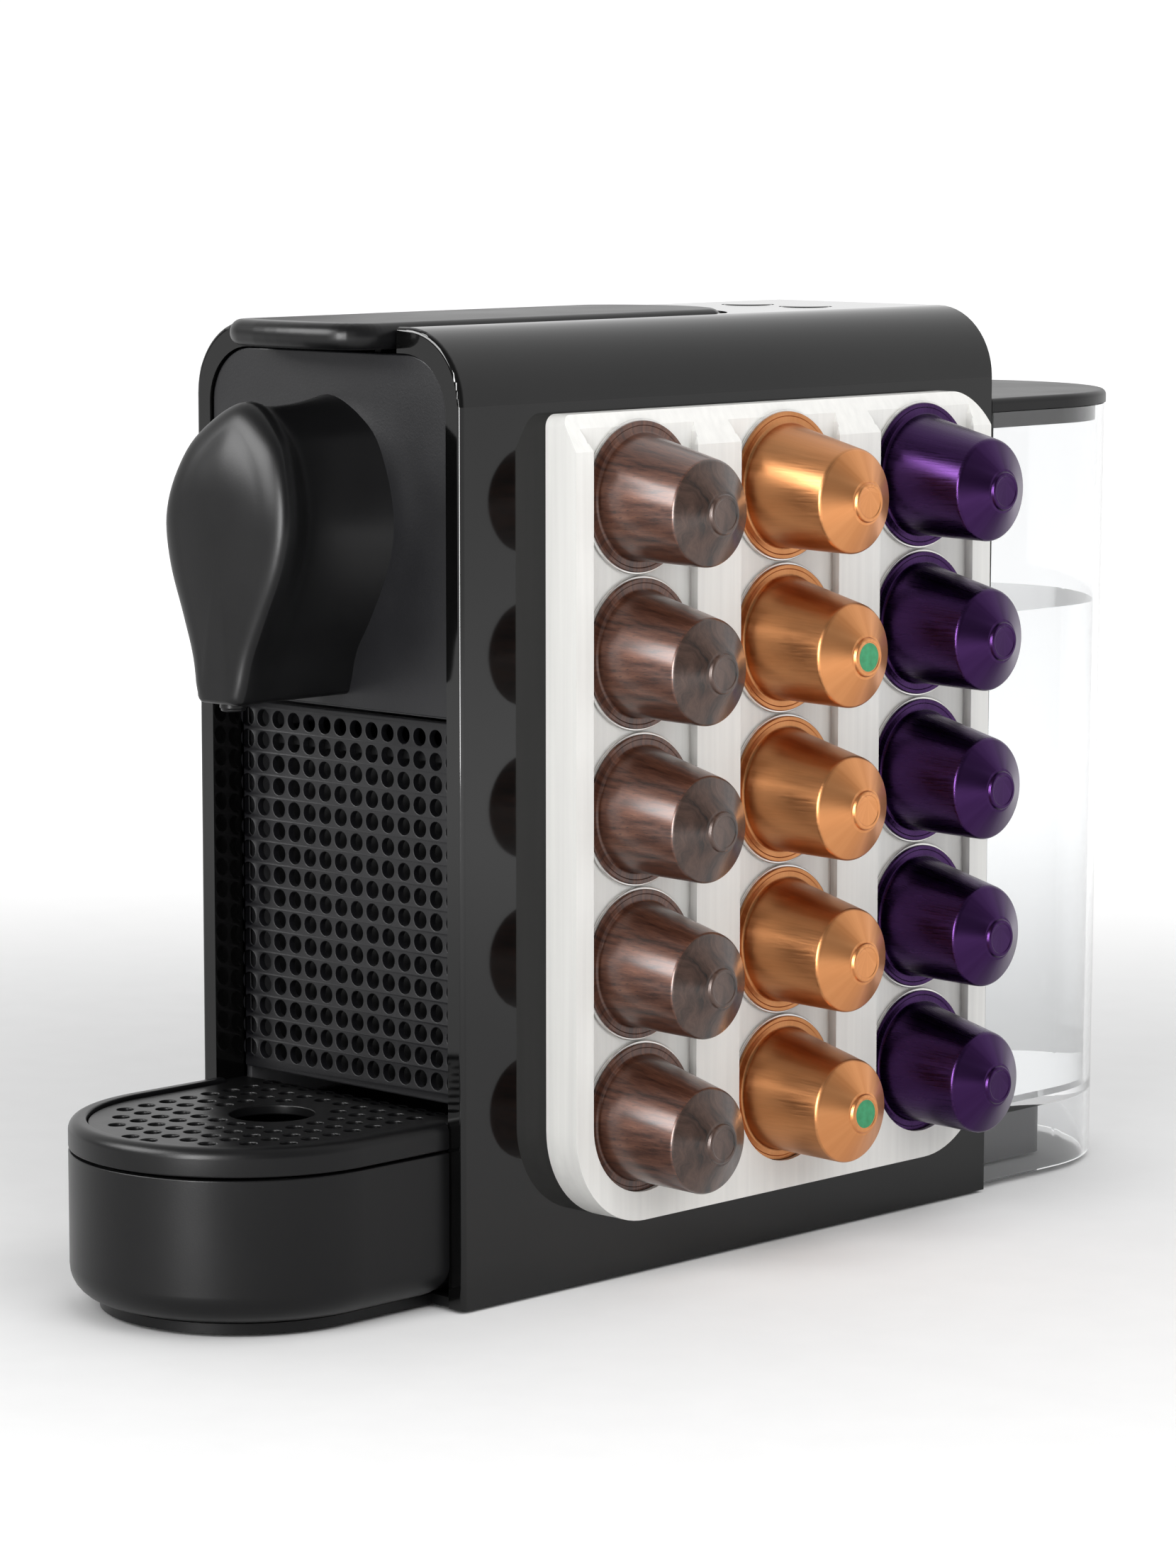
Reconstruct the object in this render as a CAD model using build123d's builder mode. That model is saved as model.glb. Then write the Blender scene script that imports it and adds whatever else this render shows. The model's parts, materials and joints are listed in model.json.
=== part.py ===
"""Capsule coffee machine with a clip-on capsule rack, as separate pieces.

Frame: millimetres, +Z up, +X towards the capsule rack, +Y towards the water tank.
The origin is on the ground, on the machine's middle plane, under the body's front face.
"""

import math
import os

from build123d import *

os.makedirs("parts", exist_ok=True)

# ---------------------------------------------------------------- driving dimensions

GAP = 0.3  # air between pieces that move apart
FLOAT_FIT = 0.05  # radial clearance of a shaft that turns or slides in a hole

# Body cover: an upside-down U of gloss plastic.
BODY_HALF = 45.83
BODY_DEPTH = 192.2
BODY_TOP = 232.3
BODY_BOTTOM = 0.8
BODY_CORNER = 18.0
WALL = 2.5
LIP_SIDE = 5.0  # the thick front edge of the cover, seen from the front
LIP_TOP = 6.1
LIP_DEPTH = 9.0
LIP_INNER = BODY_HALF - LIP_SIDE

# Ground plate and feet.
PLATE_BOTTOM = 1.0
PLATE_TOP = 3.4

# Lever on the top, hinged at its rear end.
LEVER_HALF = 24.0
LEVER_NOSE_Y = -15.5
LEVER_REAR_Y = 126.0
LEVER_STRAIGHT_END = 112.5
LEVER_BOTTOM = 227.0
LEVER_TOP = 233.3
LEVER_SLOT_GAP = 0.6
LEVER_REAR_GAP = 1.2
HINGE_Y = 102.0
HINGE_Z = 227.5
HINGE_PIN_R = 2.0
HINGE_BARREL_R = 4.2
EAR_R = 3.4
EAR_INNER = 7.6
EAR_OUTER = 10.4

# Deck under the lever and the shelf under the brew unit.
DECK_TOP = 216.7
DECK_THICK = 2.0
TAIL_WELL_HALF = 24.0  # the well that the lever's tail swings down into
TAIL_WELL_REAR = 125.5
TAIL_WELL_BOTTOM = 203.0
EAR_COLUMN_BACK = 1.0  # the ears' columns end this far in front of the pin's axis
SHELF_BOTTOM = 139.4
SHELF_THICK = 2.0

# Brew unit: the capsule's axis lies along Y.
BREW_Z = 175.0
BREW_FRONT = 5.0
BREW_BACK = 41.5
CROSSHEAD_Y = 80.0
CROSSHEAD_DEPTH = 12.0
ROD_X = 22.0
ROD_R = 2.5
ROD_WALL_Y = 119.0
HOT_TUBE_X = -23.0
HOT_TUBE_Z = 197.0

# Buttons behind the lever.
BUTTON_X = 10.0
BUTTON_Y = 160.0
BUTTON_R = 6.5
BUTTON_TOP = 232.5
BUTTON_HEAD = 4.2
STEM_R = 2.5
STEM_BOTTOM = 211.3
BOARD_TOP = 204.6
SWITCH_TOP = 209.0

# Spout hood: a teardrop mushroom that leans forward towards its foot.
HOOD_BASE_Y = 0.8
HOOD_FOOT_Z = 144.5
HOOD_WALL = 2.0
NOZZLE_Y = -30.0
NOZZLE_BOTTOM = 142.7
DUCT_Z = 156.0

# Drip tray and its grille.
TRAY_R = 41.6
TRAY_CENTRE_Y = -27.9
TRAY_BACK_Y = -0.4
TRAY_BOTTOM = 3.7
TRAY_TOP = 38.6
TRAY_TAIL_HALF = 39.9
TRAY_TAIL_Y = 62.0
TRAY_WALL = 2.2
GRILLE_BOTTOM = 39.2
GRILLE_TOP = 46.0
GRILLE_PLATE = 45.0
GRILLE_RIM = 4.4
GRILLE_HOLE_R = 2.05
GRILLE_PITCH_X = 6.4
GRILLE_PITCH_Y = 6.8
DRAIN_R = 10.3
DRAIN_Y = -18.8

# Used-capsule bin with its perforated front.
BIN_FRONT_Y = 9.3
BIN_FRONT_THICK = 2.0
BIN_HALF = 40.5
BIN_BOTTOM = 47.5
BIN_FRONT_TOP = 139.0
BIN_HOLE_R = 2.1
BIN_HOLE_PITCH = 5.5
BIN_HOLE_COLUMNS = 15
BIN_HOLE_ROWS = 16
BIN_HOLES_MID_Z = 93.65
TUB_FRONT_Y = 15.0
TUB_BACK_Y = 84.0
TUB_HALF = 38.5
TUB_TOP = 132.0
TUB_WALL = 1.8

# Water tank behind the body, standing over a low dock.
TANK_FRONT_Y = 193.4
TANK_CENTRE_Y = 224.4
TANK_R_TOP = 45.0
TANK_R_BOTTOM = 43.4
TANK_BOTTOM = 1.8
TANK_TOP = 204.9
TANK_WALL = 1.8
TANK_FLOOR = 19.0
TANK_FLOOR_THICK = 2.4
WATER_TOP = 152.5
LID_TOP = 208.6
COLLAR_BOTTOM = 200.8
DOCK_HALF = 24.0
DOCK_REAR_Y = 243.5
DOCK_TOP = 17.2
VALVE_Y = 222.0
VALVE_R = 5.9

# Capsule rack on the body's +X side: three columns of five capsules.
RACK_DEPTH = 10.0
RACK_FRONT_Y = 28.0
RACK_BACK_Y = 180.0
RACK_BOTTOM = 16.4
RACK_TOP = 211.6
RACK_CORNER_BOTTOM = 24.0
RACK_CORNER_FRONT = 3.0
RACK_CORNER_BACK = 9.5
RACK_BEVEL_X = 5.0
RACK_BEVEL_Z = 8.6
COLUMN_Y = (52.0, 103.5, 155.0)
LOWEST_ROW_Z = 41.4
ROW_PITCH = 37.5
ROWS = 5
GROOVE_FLOOR = 6.9  # above the body's side
LIP_FLOOR = 8.9
GROOVE_R = 19.0
MOUTH_R = 18.0
FUNNEL = 2.8

# Capsule: a rim, a tapered cup and a conical end with a flat nub.
RIM_R = 18.6
RIM_BACK = 7.3  # above the body's side
RIM_THICK = 1.3
CUP_R_RIM = 15.2
CUP_R_END = 12.8
CUP_END = 30.7
NUB_R = 4.75
NUB_BASE = 34.7
NUB_END = 35.7
CAPSULE_LEAN = 6.8  # degrees the cup hangs down from the rim
CAPSULE_KINDS = ("walnut", "copper", "violet")


# ---------------------------------------------------------------- helpers


def at_x(x):
    """Sketch plane facing +X, whose local axes are world Y and Z."""
    return Plane.YZ.offset(x)


def at_y(y):
    """Sketch plane whose local axes are world X and Z; a negative extrusion goes to +Y."""
    return Plane.XZ.offset(-y)


def at_z(z):
    """Sketch plane facing +Z."""
    return Plane.XY.offset(z)


def arch(half, bottom, top, corner):
    """Door shape in the running sketch: square at the bottom, rounded at the top."""
    with BuildLine() as outline:
        Line((-half, bottom), (half, bottom))
        Line((half, bottom), (half, top - corner))
        RadiusArc((half, top - corner), (half - corner, top), -corner)
        Line((half - corner, top), (corner - half, top))
        RadiusArc((corner - half, top), (-half, top - corner), -corner)
        Line((-half, top - corner), (-half, bottom))
    make_face(outline.edges())


def d_plan(radius, centre_y, flat_y):
    """D shape in the running sketch: a flat across X at flat_y and a half round beyond centre_y."""
    away = math.copysign(radius, centre_y - flat_y)
    with BuildLine() as outline:
        Line((-radius, flat_y), (radius, flat_y))
        Line((radius, flat_y), (radius, centre_y))
        ThreePointArc((radius, centre_y), (0, centre_y + away), (-radius, centre_y))
        Line((-radius, centre_y), (-radius, flat_y))
    make_face(outline.edges())


def box_between(low, high, mode=Mode.ADD):
    """Box in the running part, given by its lowest and highest corners."""
    size = [b - a for a, b in zip(low, high)]
    middle = [(a + b) / 2 for a, b in zip(low, high)]
    with Locations(tuple(middle)):
        Box(*size, mode=mode)


def rod(plane, radius, length, mode=Mode.ADD):
    """Round bar in the running part, from the plane's origin along its normal."""
    with Locations(plane):
        Cylinder(radius, length, align=(Align.CENTER, Align.CENTER, Align.MIN), mode=mode)


def save(piece, name):
    """Label a finished piece and write its STEP file."""
    piece.part.label = name
    export_step(piece.part, f"parts/{name}.step")


# ---------------------------------------------------------------- body cover and frame

with BuildPart() as shell_cover:
    with BuildSketch(at_y(0)):
        arch(BODY_HALF, BODY_BOTTOM, BODY_TOP, BODY_CORNER)
    extrude(amount=-BODY_DEPTH)
    front_edges = shell_cover.faces().sort_by(Axis.Y)[0].edges().sort_by(Axis.Z)[1:]
    fillet(front_edges, 1.2)
    with BuildSketch(at_y(-1)):
        arch(LIP_INNER, -1, BODY_TOP - LIP_TOP, 13.8)
    extrude(amount=-BODY_DEPTH - 2, mode=Mode.SUBTRACT)
    with BuildSketch(at_y(LIP_DEPTH)):
        arch(BODY_HALF - WALL, -1, BODY_TOP - WALL, BODY_CORNER - WALL)
    extrude(amount=-BODY_DEPTH, mode=Mode.SUBTRACT)
    with BuildSketch(at_z(BODY_TOP - LIP_TOP - 2)):
        slot_half = LEVER_HALF + LEVER_SLOT_GAP
        slot_straight_end = LEVER_STRAIGHT_END + LEVER_REAR_GAP
        slot_rear = LEVER_REAR_Y + LEVER_REAR_GAP
        with BuildLine():
            Line((-slot_half, -2), (slot_half, -2))
            Line((slot_half, -2), (slot_half, slot_straight_end))
            ThreePointArc(
                (slot_half, slot_straight_end), (0, slot_rear), (-slot_half, slot_straight_end)
            )
            Line((-slot_half, slot_straight_end), (-slot_half, -2))
        make_face()
    extrude(amount=LIP_TOP + 4, mode=Mode.SUBTRACT)
    with BuildSketch(at_z(BODY_TOP - WALL - 1)):
        with Locations((-BUTTON_X, BUTTON_Y), (BUTTON_X, BUTTON_Y)):
            Circle(BUTTON_R + 0.4)
    extrude(amount=WALL + 2, mode=Mode.SUBTRACT)
    inlet_plane = Plane(origin=(-BODY_HALF - 1, 176, 16), z_dir=(1, 0, 0))
    rod(inlet_plane, 5.0, WALL + 2, mode=Mode.SUBTRACT)
save(shell_cover, "shell_cover")

foot_spots = ((-33.0, 176.0), (33.0, 176.0))

with BuildPart() as base_plate:
    with BuildSketch(at_z(PLATE_BOTTOM)):
        with Locations((0, (0.5 + BODY_DEPTH - 0.4) / 2)):
            Rectangle(2 * (LIP_INNER - 0.4), BODY_DEPTH - 0.9)
        with Locations((0, (LIP_DEPTH + 0.4 + BODY_DEPTH - 0.4) / 2)):
            Rectangle(2 * (BODY_HALF - WALL - 0.3), BODY_DEPTH - LIP_DEPTH - 0.8)
        d_plan(TRAY_R - 7, TRAY_CENTRE_Y, 0.5)
    extrude(amount=PLATE_TOP - PLATE_BOTTOM)
    with BuildSketch(at_z(0)):
        Rectangle(56, 9)
        with Locations((0, -50)):
            Rectangle(28, 9)
        with Locations(*foot_spots):
            Circle(7.5)
    extrude(amount=PLATE_BOTTOM + 0.8, mode=Mode.SUBTRACT)
    screw_spots = ((-38.0, 75.0), (38.0, 75.0), (-38.0, 165.0), (38.0, 165.0))
    with BuildSketch(at_z(0)):
        with Locations(*screw_spots):
            Circle(1.5)
    extrude(amount=PLATE_TOP + 1, mode=Mode.SUBTRACT)
save(base_plate, "base_plate")

with BuildPart() as rubber_feet:
    with BuildSketch(at_z(0)):
        Rectangle(55.6, 8.6)
        with Locations((0, -50)):
            Rectangle(27.6, 8.6)
        with Locations(*foot_spots):
            Circle(7.3)
    extrude(amount=PLATE_BOTTOM + 0.8)
save(rubber_feet, "rubber_feet")

chassis_inner = 41.0
chassis_outer = 42.8

with BuildPart() as chassis_frame:
    deck_bottom = DECK_TOP - DECK_THICK
    for side in (-1, 1):
        low_x, high_x = sorted((side * chassis_inner, side * chassis_outer))
        box_between((low_x, 12, PLATE_TOP), (high_x, 186, deck_bottom))
    box_between((-chassis_inner, 86, PLATE_TOP), (chassis_inner, 88, SHELF_BOTTOM))
    shelf_top = SHELF_BOTTOM + SHELF_THICK
    box_between((-chassis_inner, 12, SHELF_BOTTOM), (chassis_inner, 186, shelf_top))
    box_between(
        (-chassis_inner, ROD_WALL_Y, shelf_top), (chassis_inner, ROD_WALL_Y + 2.5, deck_bottom)
    )
    box_between((-20, 43, SHELF_BOTTOM - 1), (20, 76, shelf_top + 1), mode=Mode.SUBTRACT)
    box_between(
        (-TAIL_WELL_HALF, ROD_WALL_Y - 1, TAIL_WELL_BOTTOM),
        (TAIL_WELL_HALF, ROD_WALL_Y + 4, deck_bottom + 1),
        mode=Mode.SUBTRACT,
    )
    for x in (-ROD_X, ROD_X):
        rod_plane = Plane(origin=(x, ROD_WALL_Y - 1, BREW_Z), z_dir=(0, 1, 0))
        rod(rod_plane, ROD_R, 6, mode=Mode.SUBTRACT)
    with BuildSketch(at_z(PLATE_TOP)):
        with Locations(*screw_spots):
            Circle(4)
    extrude(amount=10)
    with BuildSketch(at_z(PLATE_TOP)):
        with Locations(*screw_spots):
            Circle(1.5)
    extrude(amount=8, mode=Mode.SUBTRACT)
    hose_gate = ((-8, 118, SHELF_BOTTOM - 1), (30, 150, shelf_top + 1))
    box_between(*hose_gate, mode=Mode.SUBTRACT)
    rod(Plane(origin=(HOT_TUBE_X, ROD_WALL_Y - 1, HOT_TUBE_Z), z_dir=(0, 1, 0)), 3.0, 6, Mode.SUBTRACT)
save(chassis_frame, "chassis_frame")

with BuildPart() as feed_deck:
    box_between((-41, 10, DECK_TOP - DECK_THICK), (41, 186, DECK_TOP))
    for side in (-1, 1):
        low_x, high_x = sorted((side * EAR_INNER, side * EAR_OUTER))
        column_back = HINGE_Y - EAR_COLUMN_BACK
        box_between((low_x, HINGE_Y - EAR_R, DECK_TOP), (high_x, column_back, HINGE_Z))
        ear_plane = Plane(origin=(low_x, HINGE_Y, HINGE_Z), z_dir=(1, 0, 0))
        rod(ear_plane, EAR_R, high_x - low_x)
    pin_plane = Plane(origin=(-30, HINGE_Y, HINGE_Z), z_dir=(1, 0, 0))
    rod(pin_plane, HINGE_PIN_R, 60, mode=Mode.SUBTRACT)
    box_between((-19.4, 43, DECK_TOP - 5), (19.4, 47, DECK_TOP + 1), mode=Mode.SUBTRACT)
    box_between((-16, 46, DECK_TOP - 5), (16, 73, DECK_TOP + 1), mode=Mode.SUBTRACT)
    box_between(
        (-TAIL_WELL_HALF, HINGE_Y + EAR_COLUMN_BACK, DECK_TOP - 5),
        (TAIL_WELL_HALF, TAIL_WELL_REAR, DECK_TOP + 1),
        mode=Mode.SUBTRACT,
    )
    with BuildSketch(at_z(DECK_TOP - 5)):
        with Locations((-BUTTON_X, BUTTON_Y), (BUTTON_X, BUTTON_Y)):
            Circle(STEM_R + FLOAT_FIT)
    extrude(amount=6, mode=Mode.SUBTRACT)
save(feed_deck, "feed_deck")

with BuildPart() as lever_pin:
    pin_length = 2 * EAR_OUTER + 1
    rod(Plane(origin=(-pin_length / 2, HINGE_Y, HINGE_Z), z_dir=(1, 0, 0)), HINGE_PIN_R, pin_length)
    chamfer(lever_pin.edges().filter_by(GeomType.CIRCLE), 0.3)
save(lever_pin, "lever_pin")

with BuildPart() as front_panel:
    with BuildSketch(at_y(0.8)):
        arch(LIP_INNER - GAP, 141.5, BODY_TOP - LIP_TOP - GAP, 13.5)
    extrude(amount=-2.5)
    fillet(front_panel.faces().sort_by(Axis.Y)[0].edges(), 0.4)
    rod(Plane(origin=(0, 5, DUCT_Z), z_dir=(0, -1, 0)), 5.0, 6, mode=Mode.SUBTRACT)
save(front_panel, "front_panel")

with BuildPart() as rear_panel:
    with BuildSketch(at_y(189.2)):
        arch(BODY_HALF - WALL - 0.3, PLATE_TOP + 0.2, BODY_TOP - WALL - 0.3, BODY_CORNER - WALL)
    extrude(amount=-2.6)
    rod(Plane(origin=(0, 188, 9), z_dir=(0, 1, 0)), 4.0, 6, mode=Mode.SUBTRACT)
    with BuildSketch(at_y(188)):
        with GridLocations(72, 160, 2, 2):
            with Locations((0, 112)):
                Circle(1.5)
        with Locations((0, 190)):
            with GridLocations(0, 6, 1, 5):
                SlotOverall(40, 2.4)
    extrude(amount=-6, mode=Mode.SUBTRACT)
save(rear_panel, "rear_panel")

with BuildPart() as rear_screws:
    with BuildSketch(at_y(187)):
        with GridLocations(72, 160, 2, 2):
            with Locations((0, 112)):
                Circle(1.5)
    extrude(amount=-4.8)
    with BuildSketch(at_y(191.8)):
        with GridLocations(72, 160, 2, 2):
            with Locations((0, 112)):
                Circle(3)
    extrude(amount=-1.1)
save(rear_screws, "rear_screws")

with BuildPart() as base_screws:
    with BuildSketch(at_z(PLATE_BOTTOM + 0.2)):
        with Locations(*screw_spots):
            Circle(1.5)
    extrude(amount=9.5)
save(base_screws, "base_screws")

with BuildPart() as power_inlet:
    rod(Plane(origin=(-BODY_HALF - 1.4, 176, 16), z_dir=(1, 0, 0)), 6.6, 1.4)
    rod(Plane(origin=(-BODY_HALF, 176, 16), z_dir=(1, 0, 0)), 4.9, 2.6)
    rod(Plane(origin=(-BODY_HALF - 2, 176, 16), z_dir=(1, 0, 0)), 3.1, 8, mode=Mode.SUBTRACT)
    fillet(power_inlet.edges().filter_by(GeomType.CIRCLE).sort_by(Axis.X)[1], 0.5)
save(power_inlet, "power_inlet")

# ---------------------------------------------------------------- spout

# Half widths and heights of the hood's outline, from the crown down to the foot, at
# the front panel, at the waist and on the face. The foot is flat.
HOOD_BASE = ((0, 215.7), (14.0, 208.9), (19.9, 199.1), (22.6, 186.8), (20.7, 175.8),
             (14.8, 163.7), (9.4, 154.5), (7.2, HOOD_FOOT_Z))
HOOD_WAIST = ((0, 213.6), (9.2, 207.5), (14.0, 198.2), (16.2, 187.0), (14.9, 176.2),
              (11.4, 164.2), (8.0, 154.5), (6.8, HOOD_FOOT_Z))
HOOD_FLARE = ((0, 215.0), (12.8, 207.8), (18.6, 198.6), (21.0, 187.6), (19.0, 176.4),
              (13.8, 164.4), (9.8, 154.5), (7.8, HOOD_FOOT_Z))
HOOD_FACE = ((0, 210.0), (9.2, 204.2), (14.2, 196.8), (16.6, 187.4), (14.8, 176.8),
             (10.0, 164.8), (6.6, 154.5), (5.4, HOOD_FOOT_Z))
# Foot position along Y and backward lean in degrees of each section.
HOOD_SECTIONS = ((HOOD_BASE, HOOD_BASE_Y, 0.0), (HOOD_WAIST, -21.0, 3.0),
                 (HOOD_FLARE, -33.4, 4.4), (HOOD_FACE, -36.4, 4.0))


def hood_sketch(outline, foot_y, lean, inset):
    """One closed section of the hood, leaning back from its foot, drawn smaller by inset."""
    tilt = math.radians(lean)
    plane = Plane(
        origin=(0, foot_y, HOOD_FOOT_Z),
        x_dir=(1, 0, 0),
        z_dir=(0, -math.cos(tilt), math.sin(tilt)),
    )
    crown = (0, outline[0][1] - HOOD_FOOT_Z - inset)
    right = [(half - inset, height - HOOD_FOOT_Z) for half, height in outline[1:]]
    left = [(-x, z) for x, z in right]
    with BuildSketch(plane) as section:
        with BuildLine():
            Spline(*reversed(left), crown, *right)
            Line(right[-1], left[-1])
        make_face()
    return section.sketch


with BuildPart() as spout_hood:
    loft([hood_sketch(outline, foot_y, lean, 0) for outline, foot_y, lean in HOOD_SECTIONS])
    hollow = [
        hood_sketch(HOOD_BASE, HOOD_BASE_Y + 0.5, 0, 2 * HOOD_WALL),
        hood_sketch(HOOD_WAIST, -19.0, 3.0, 2 * HOOD_WALL),
        hood_sketch(HOOD_FACE, -32.5, 5.0, HOOD_WALL),
    ]
    loft(hollow, ruled=True, mode=Mode.SUBTRACT)
    with BuildSketch(at_z(HOOD_FOOT_Z)):
        with Locations((0, -17.5)):
            Rectangle(10.6, 34)
    extrude(amount=HOOD_WALL)
    rod(Plane(origin=(0, NOZZLE_Y, HOOD_FOOT_Z - 1)), 3.2, 16, mode=Mode.SUBTRACT)
    rod(Plane(origin=(0, NOZZLE_Y - 3, DUCT_Z), z_dir=(0, 1, 0)), 3.2, 40, mode=Mode.SUBTRACT)
save(spout_hood, "spout_hood")

with BuildPart() as spout_nozzle:
    rod(Plane(origin=(0, NOZZLE_Y, NOZZLE_BOTTOM)), 3.2, DUCT_Z - NOZZLE_BOTTOM)
    rod(Plane(origin=(0, NOZZLE_Y - 3, DUCT_Z), z_dir=(0, 1, 0)), 3.2, BREW_FRONT - NOZZLE_Y + 3)
    rod(Plane(origin=(0, NOZZLE_Y, NOZZLE_BOTTOM - 1)), 1.7, 14, mode=Mode.SUBTRACT)
    rod(Plane(origin=(0, NOZZLE_Y, DUCT_Z), z_dir=(0, 1, 0)), 1.7, 40, mode=Mode.SUBTRACT)
save(spout_nozzle, "spout_nozzle")

# ---------------------------------------------------------------- brew unit

with BuildPart() as brew_chamber:
    box_between((-27, BREW_FRONT, 148), (27, BREW_BACK, 202))
    fillet(brew_chamber.edges().filter_by(Axis.Y), 6)
    with BuildSketch(at_y(BREW_BACK - 27)):
        with Locations((0, BREW_Z)):
            Circle(13.2)
    with BuildSketch(at_y(BREW_BACK)):
        with Locations((0, BREW_Z)):
            Circle(15.8)
    loft(mode=Mode.SUBTRACT)
    rod(Plane(origin=(0, 4, DUCT_Z), z_dir=(0, 1, 0)), 1.7, 14, mode=Mode.SUBTRACT)
save(brew_chamber, "brew_chamber")

with BuildPart() as guide_rods:
    for x in (-ROD_X, ROD_X):
        length = ROD_WALL_Y + 2.5 - BREW_BACK
        rod(Plane(origin=(x, BREW_BACK, BREW_Z), z_dir=(0, 1, 0)), ROD_R, length)
save(guide_rods, "guide_rods")

with BuildPart() as brew_piston:
    axis_plane = Plane(origin=(0, BREW_BACK + GAP, BREW_Z), z_dir=(0, 1, 0))
    rod(axis_plane, 17.0, 4.0)
    rod(axis_plane, 9.0, CROSSHEAD_Y - BREW_BACK)
    box_between(
        (-28, CROSSHEAD_Y, BREW_Z - 12), (28, CROSSHEAD_Y + CROSSHEAD_DEPTH, BREW_Z + 12)
    )
    fillet(brew_piston.edges().filter_by(Axis.Y), 4)
    for x in (-ROD_X, ROD_X):
        bore_plane = Plane(origin=(x, CROSSHEAD_Y - 1, BREW_Z), z_dir=(0, 1, 0))
        rod(bore_plane, ROD_R + FLOAT_FIT, CROSSHEAD_DEPTH + 2, mode=Mode.SUBTRACT)
save(brew_piston, "brew_piston")

with BuildPart() as lever:
    with BuildSketch(at_z(LEVER_BOTTOM)):
        corner = 8.5
        nose_side = LEVER_NOSE_Y + 2.0
        with BuildLine():
            ThreePointArc((-LEVER_HALF, nose_side), (0, LEVER_NOSE_Y), (LEVER_HALF, nose_side))
            Line((LEVER_HALF, nose_side), (LEVER_HALF, LEVER_STRAIGHT_END))
            ThreePointArc(
                (LEVER_HALF, LEVER_STRAIGHT_END), (0, LEVER_REAR_Y), (-LEVER_HALF, LEVER_STRAIGHT_END)
            )
            Line((-LEVER_HALF, LEVER_STRAIGHT_END), (-LEVER_HALF, nose_side))
        make_face()
    extrude(amount=LEVER_TOP - LEVER_BOTTOM)
    fillet(lever.edges().filter_by(Axis.Z).group_by(Axis.Y)[0], corner)
    rim_edges = lever.faces().sort_by(Axis.Z)[-1].edges() + lever.faces().sort_by(Axis.Z)[0].edges()
    fillet(rim_edges, 2.4)
    barrel_length = 2 * EAR_INNER - 0.6
    rod(
        Plane(origin=(-barrel_length / 2, HINGE_Y, HINGE_Z), z_dir=(1, 0, 0)),
        HINGE_BARREL_R,
        barrel_length,
    )
    for x in (-12, 12):
        box_between((x - 1, 6, LEVER_BOTTOM - 2.5), (x + 1, HINGE_Y, LEVER_BOTTOM + 1))
    for side in (-1, 1):
        low_x, high_x = sorted((side * (EAR_INNER - 0.3), side * (EAR_OUTER + 0.6)))
        notch_r = EAR_R + 0.6
        notch_plane = Plane(origin=(low_x, HINGE_Y, HINGE_Z), z_dir=(1, 0, 0))
        rod(notch_plane, notch_r, high_x - low_x, mode=Mode.SUBTRACT)
        box_between(
            (low_x, HINGE_Y - notch_r, LEVER_BOTTOM - 5),
            (high_x, HINGE_Y, HINGE_Z),
            mode=Mode.SUBTRACT,
        )
    rod(Plane(origin=(-30, HINGE_Y, HINGE_Z), z_dir=(1, 0, 0)), HINGE_PIN_R + FLOAT_FIT, 60, Mode.SUBTRACT)
save(lever, "lever")

# ---------------------------------------------------------------- water circuit and electrics

with BuildPart() as thermoblock:
    box_between((-28, 126, 150), (28, 176, 190))
    fillet(thermoblock.edges().filter_by(Axis.Y), 4)
    for z in (158, 166, 174, 182):
        box_between((-32, 130, z - 1), (32, 172, z + 1))
save(thermoblock, "thermoblock")

PUMP_Z = 42.0
with BuildPart() as pump:
    rod(Plane(origin=(0, 100, PUMP_Z), z_dir=(0, 1, 0)), 16.0, 66)
    rod(Plane(origin=(0, 94, PUMP_Z), z_dir=(0, 1, 0)), 5.0, 78)
    rod(Plane(origin=(0, 128, PUMP_Z), z_dir=(0, 1, 0)), 19.0, 4)
    rod(Plane(origin=(0, 112, PUMP_Z)), 4.0, 24)
save(pump, "pump")

with BuildPart() as pump_mounts:
    for y in (104, 156):
        box_between((-20, y, PLATE_TOP), (20, y + 6, PUMP_Z + 6))
    rod(Plane(origin=(0, 95, PUMP_Z), z_dir=(0, 1, 0)), 16.0, 75, mode=Mode.SUBTRACT)
save(pump_mounts, "pump_mounts")


def hose(points, bend, radius):
    """Round hose in the running part, straight runs joined by bends of one radius."""
    with BuildLine() as route:
        FilletPolyline(*points, radius=bend)
    with BuildSketch(Plane(origin=points[0], z_dir=route.line % 0)) as section:
        Circle(radius)
    sweep(section.sketch, path=route.line)


with BuildPart() as suction_hose:
    hose(((0, 185, 9), (0, 178, 9), (0, 178, PUMP_Z), (0, 172, PUMP_Z)), 5.5, 3.0)
save(suction_hose, "suction_hose")

with BuildPart() as pressure_hose:
    port_top = PUMP_Z + 24
    hose(((0, 112, port_top), (0, 112, 92), (12, 142, 122), (12, 142, 150)), 10.0, 2.0)
save(pressure_hose, "pressure_hose")

with BuildPart() as hot_tube:
    hose(((HOT_TUBE_X, 136, 190), (HOT_TUBE_X, 136, HOT_TUBE_Z), (HOT_TUBE_X, BREW_BACK, HOT_TUBE_Z)), 5.0, 2.0)
save(hot_tube, "hot_tube")

with BuildPart() as control_board:
    box_between((-30, 138, BOARD_TOP - 1.6), (30, 182, BOARD_TOP))
    box_between((-26, 170, BOARD_TOP), (-10, 180, BOARD_TOP + 4))
    box_between((6, 172, BOARD_TOP), (26, 179, BOARD_TOP + 2.5))
save(control_board, "control_board")

with BuildPart() as microswitches:
    for x in (-BUTTON_X, BUTTON_X):
        box_between((x - 3, BUTTON_Y - 3, BOARD_TOP), (x + 3, BUTTON_Y + 3, SWITCH_TOP))
save(microswitches, "microswitches")

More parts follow.
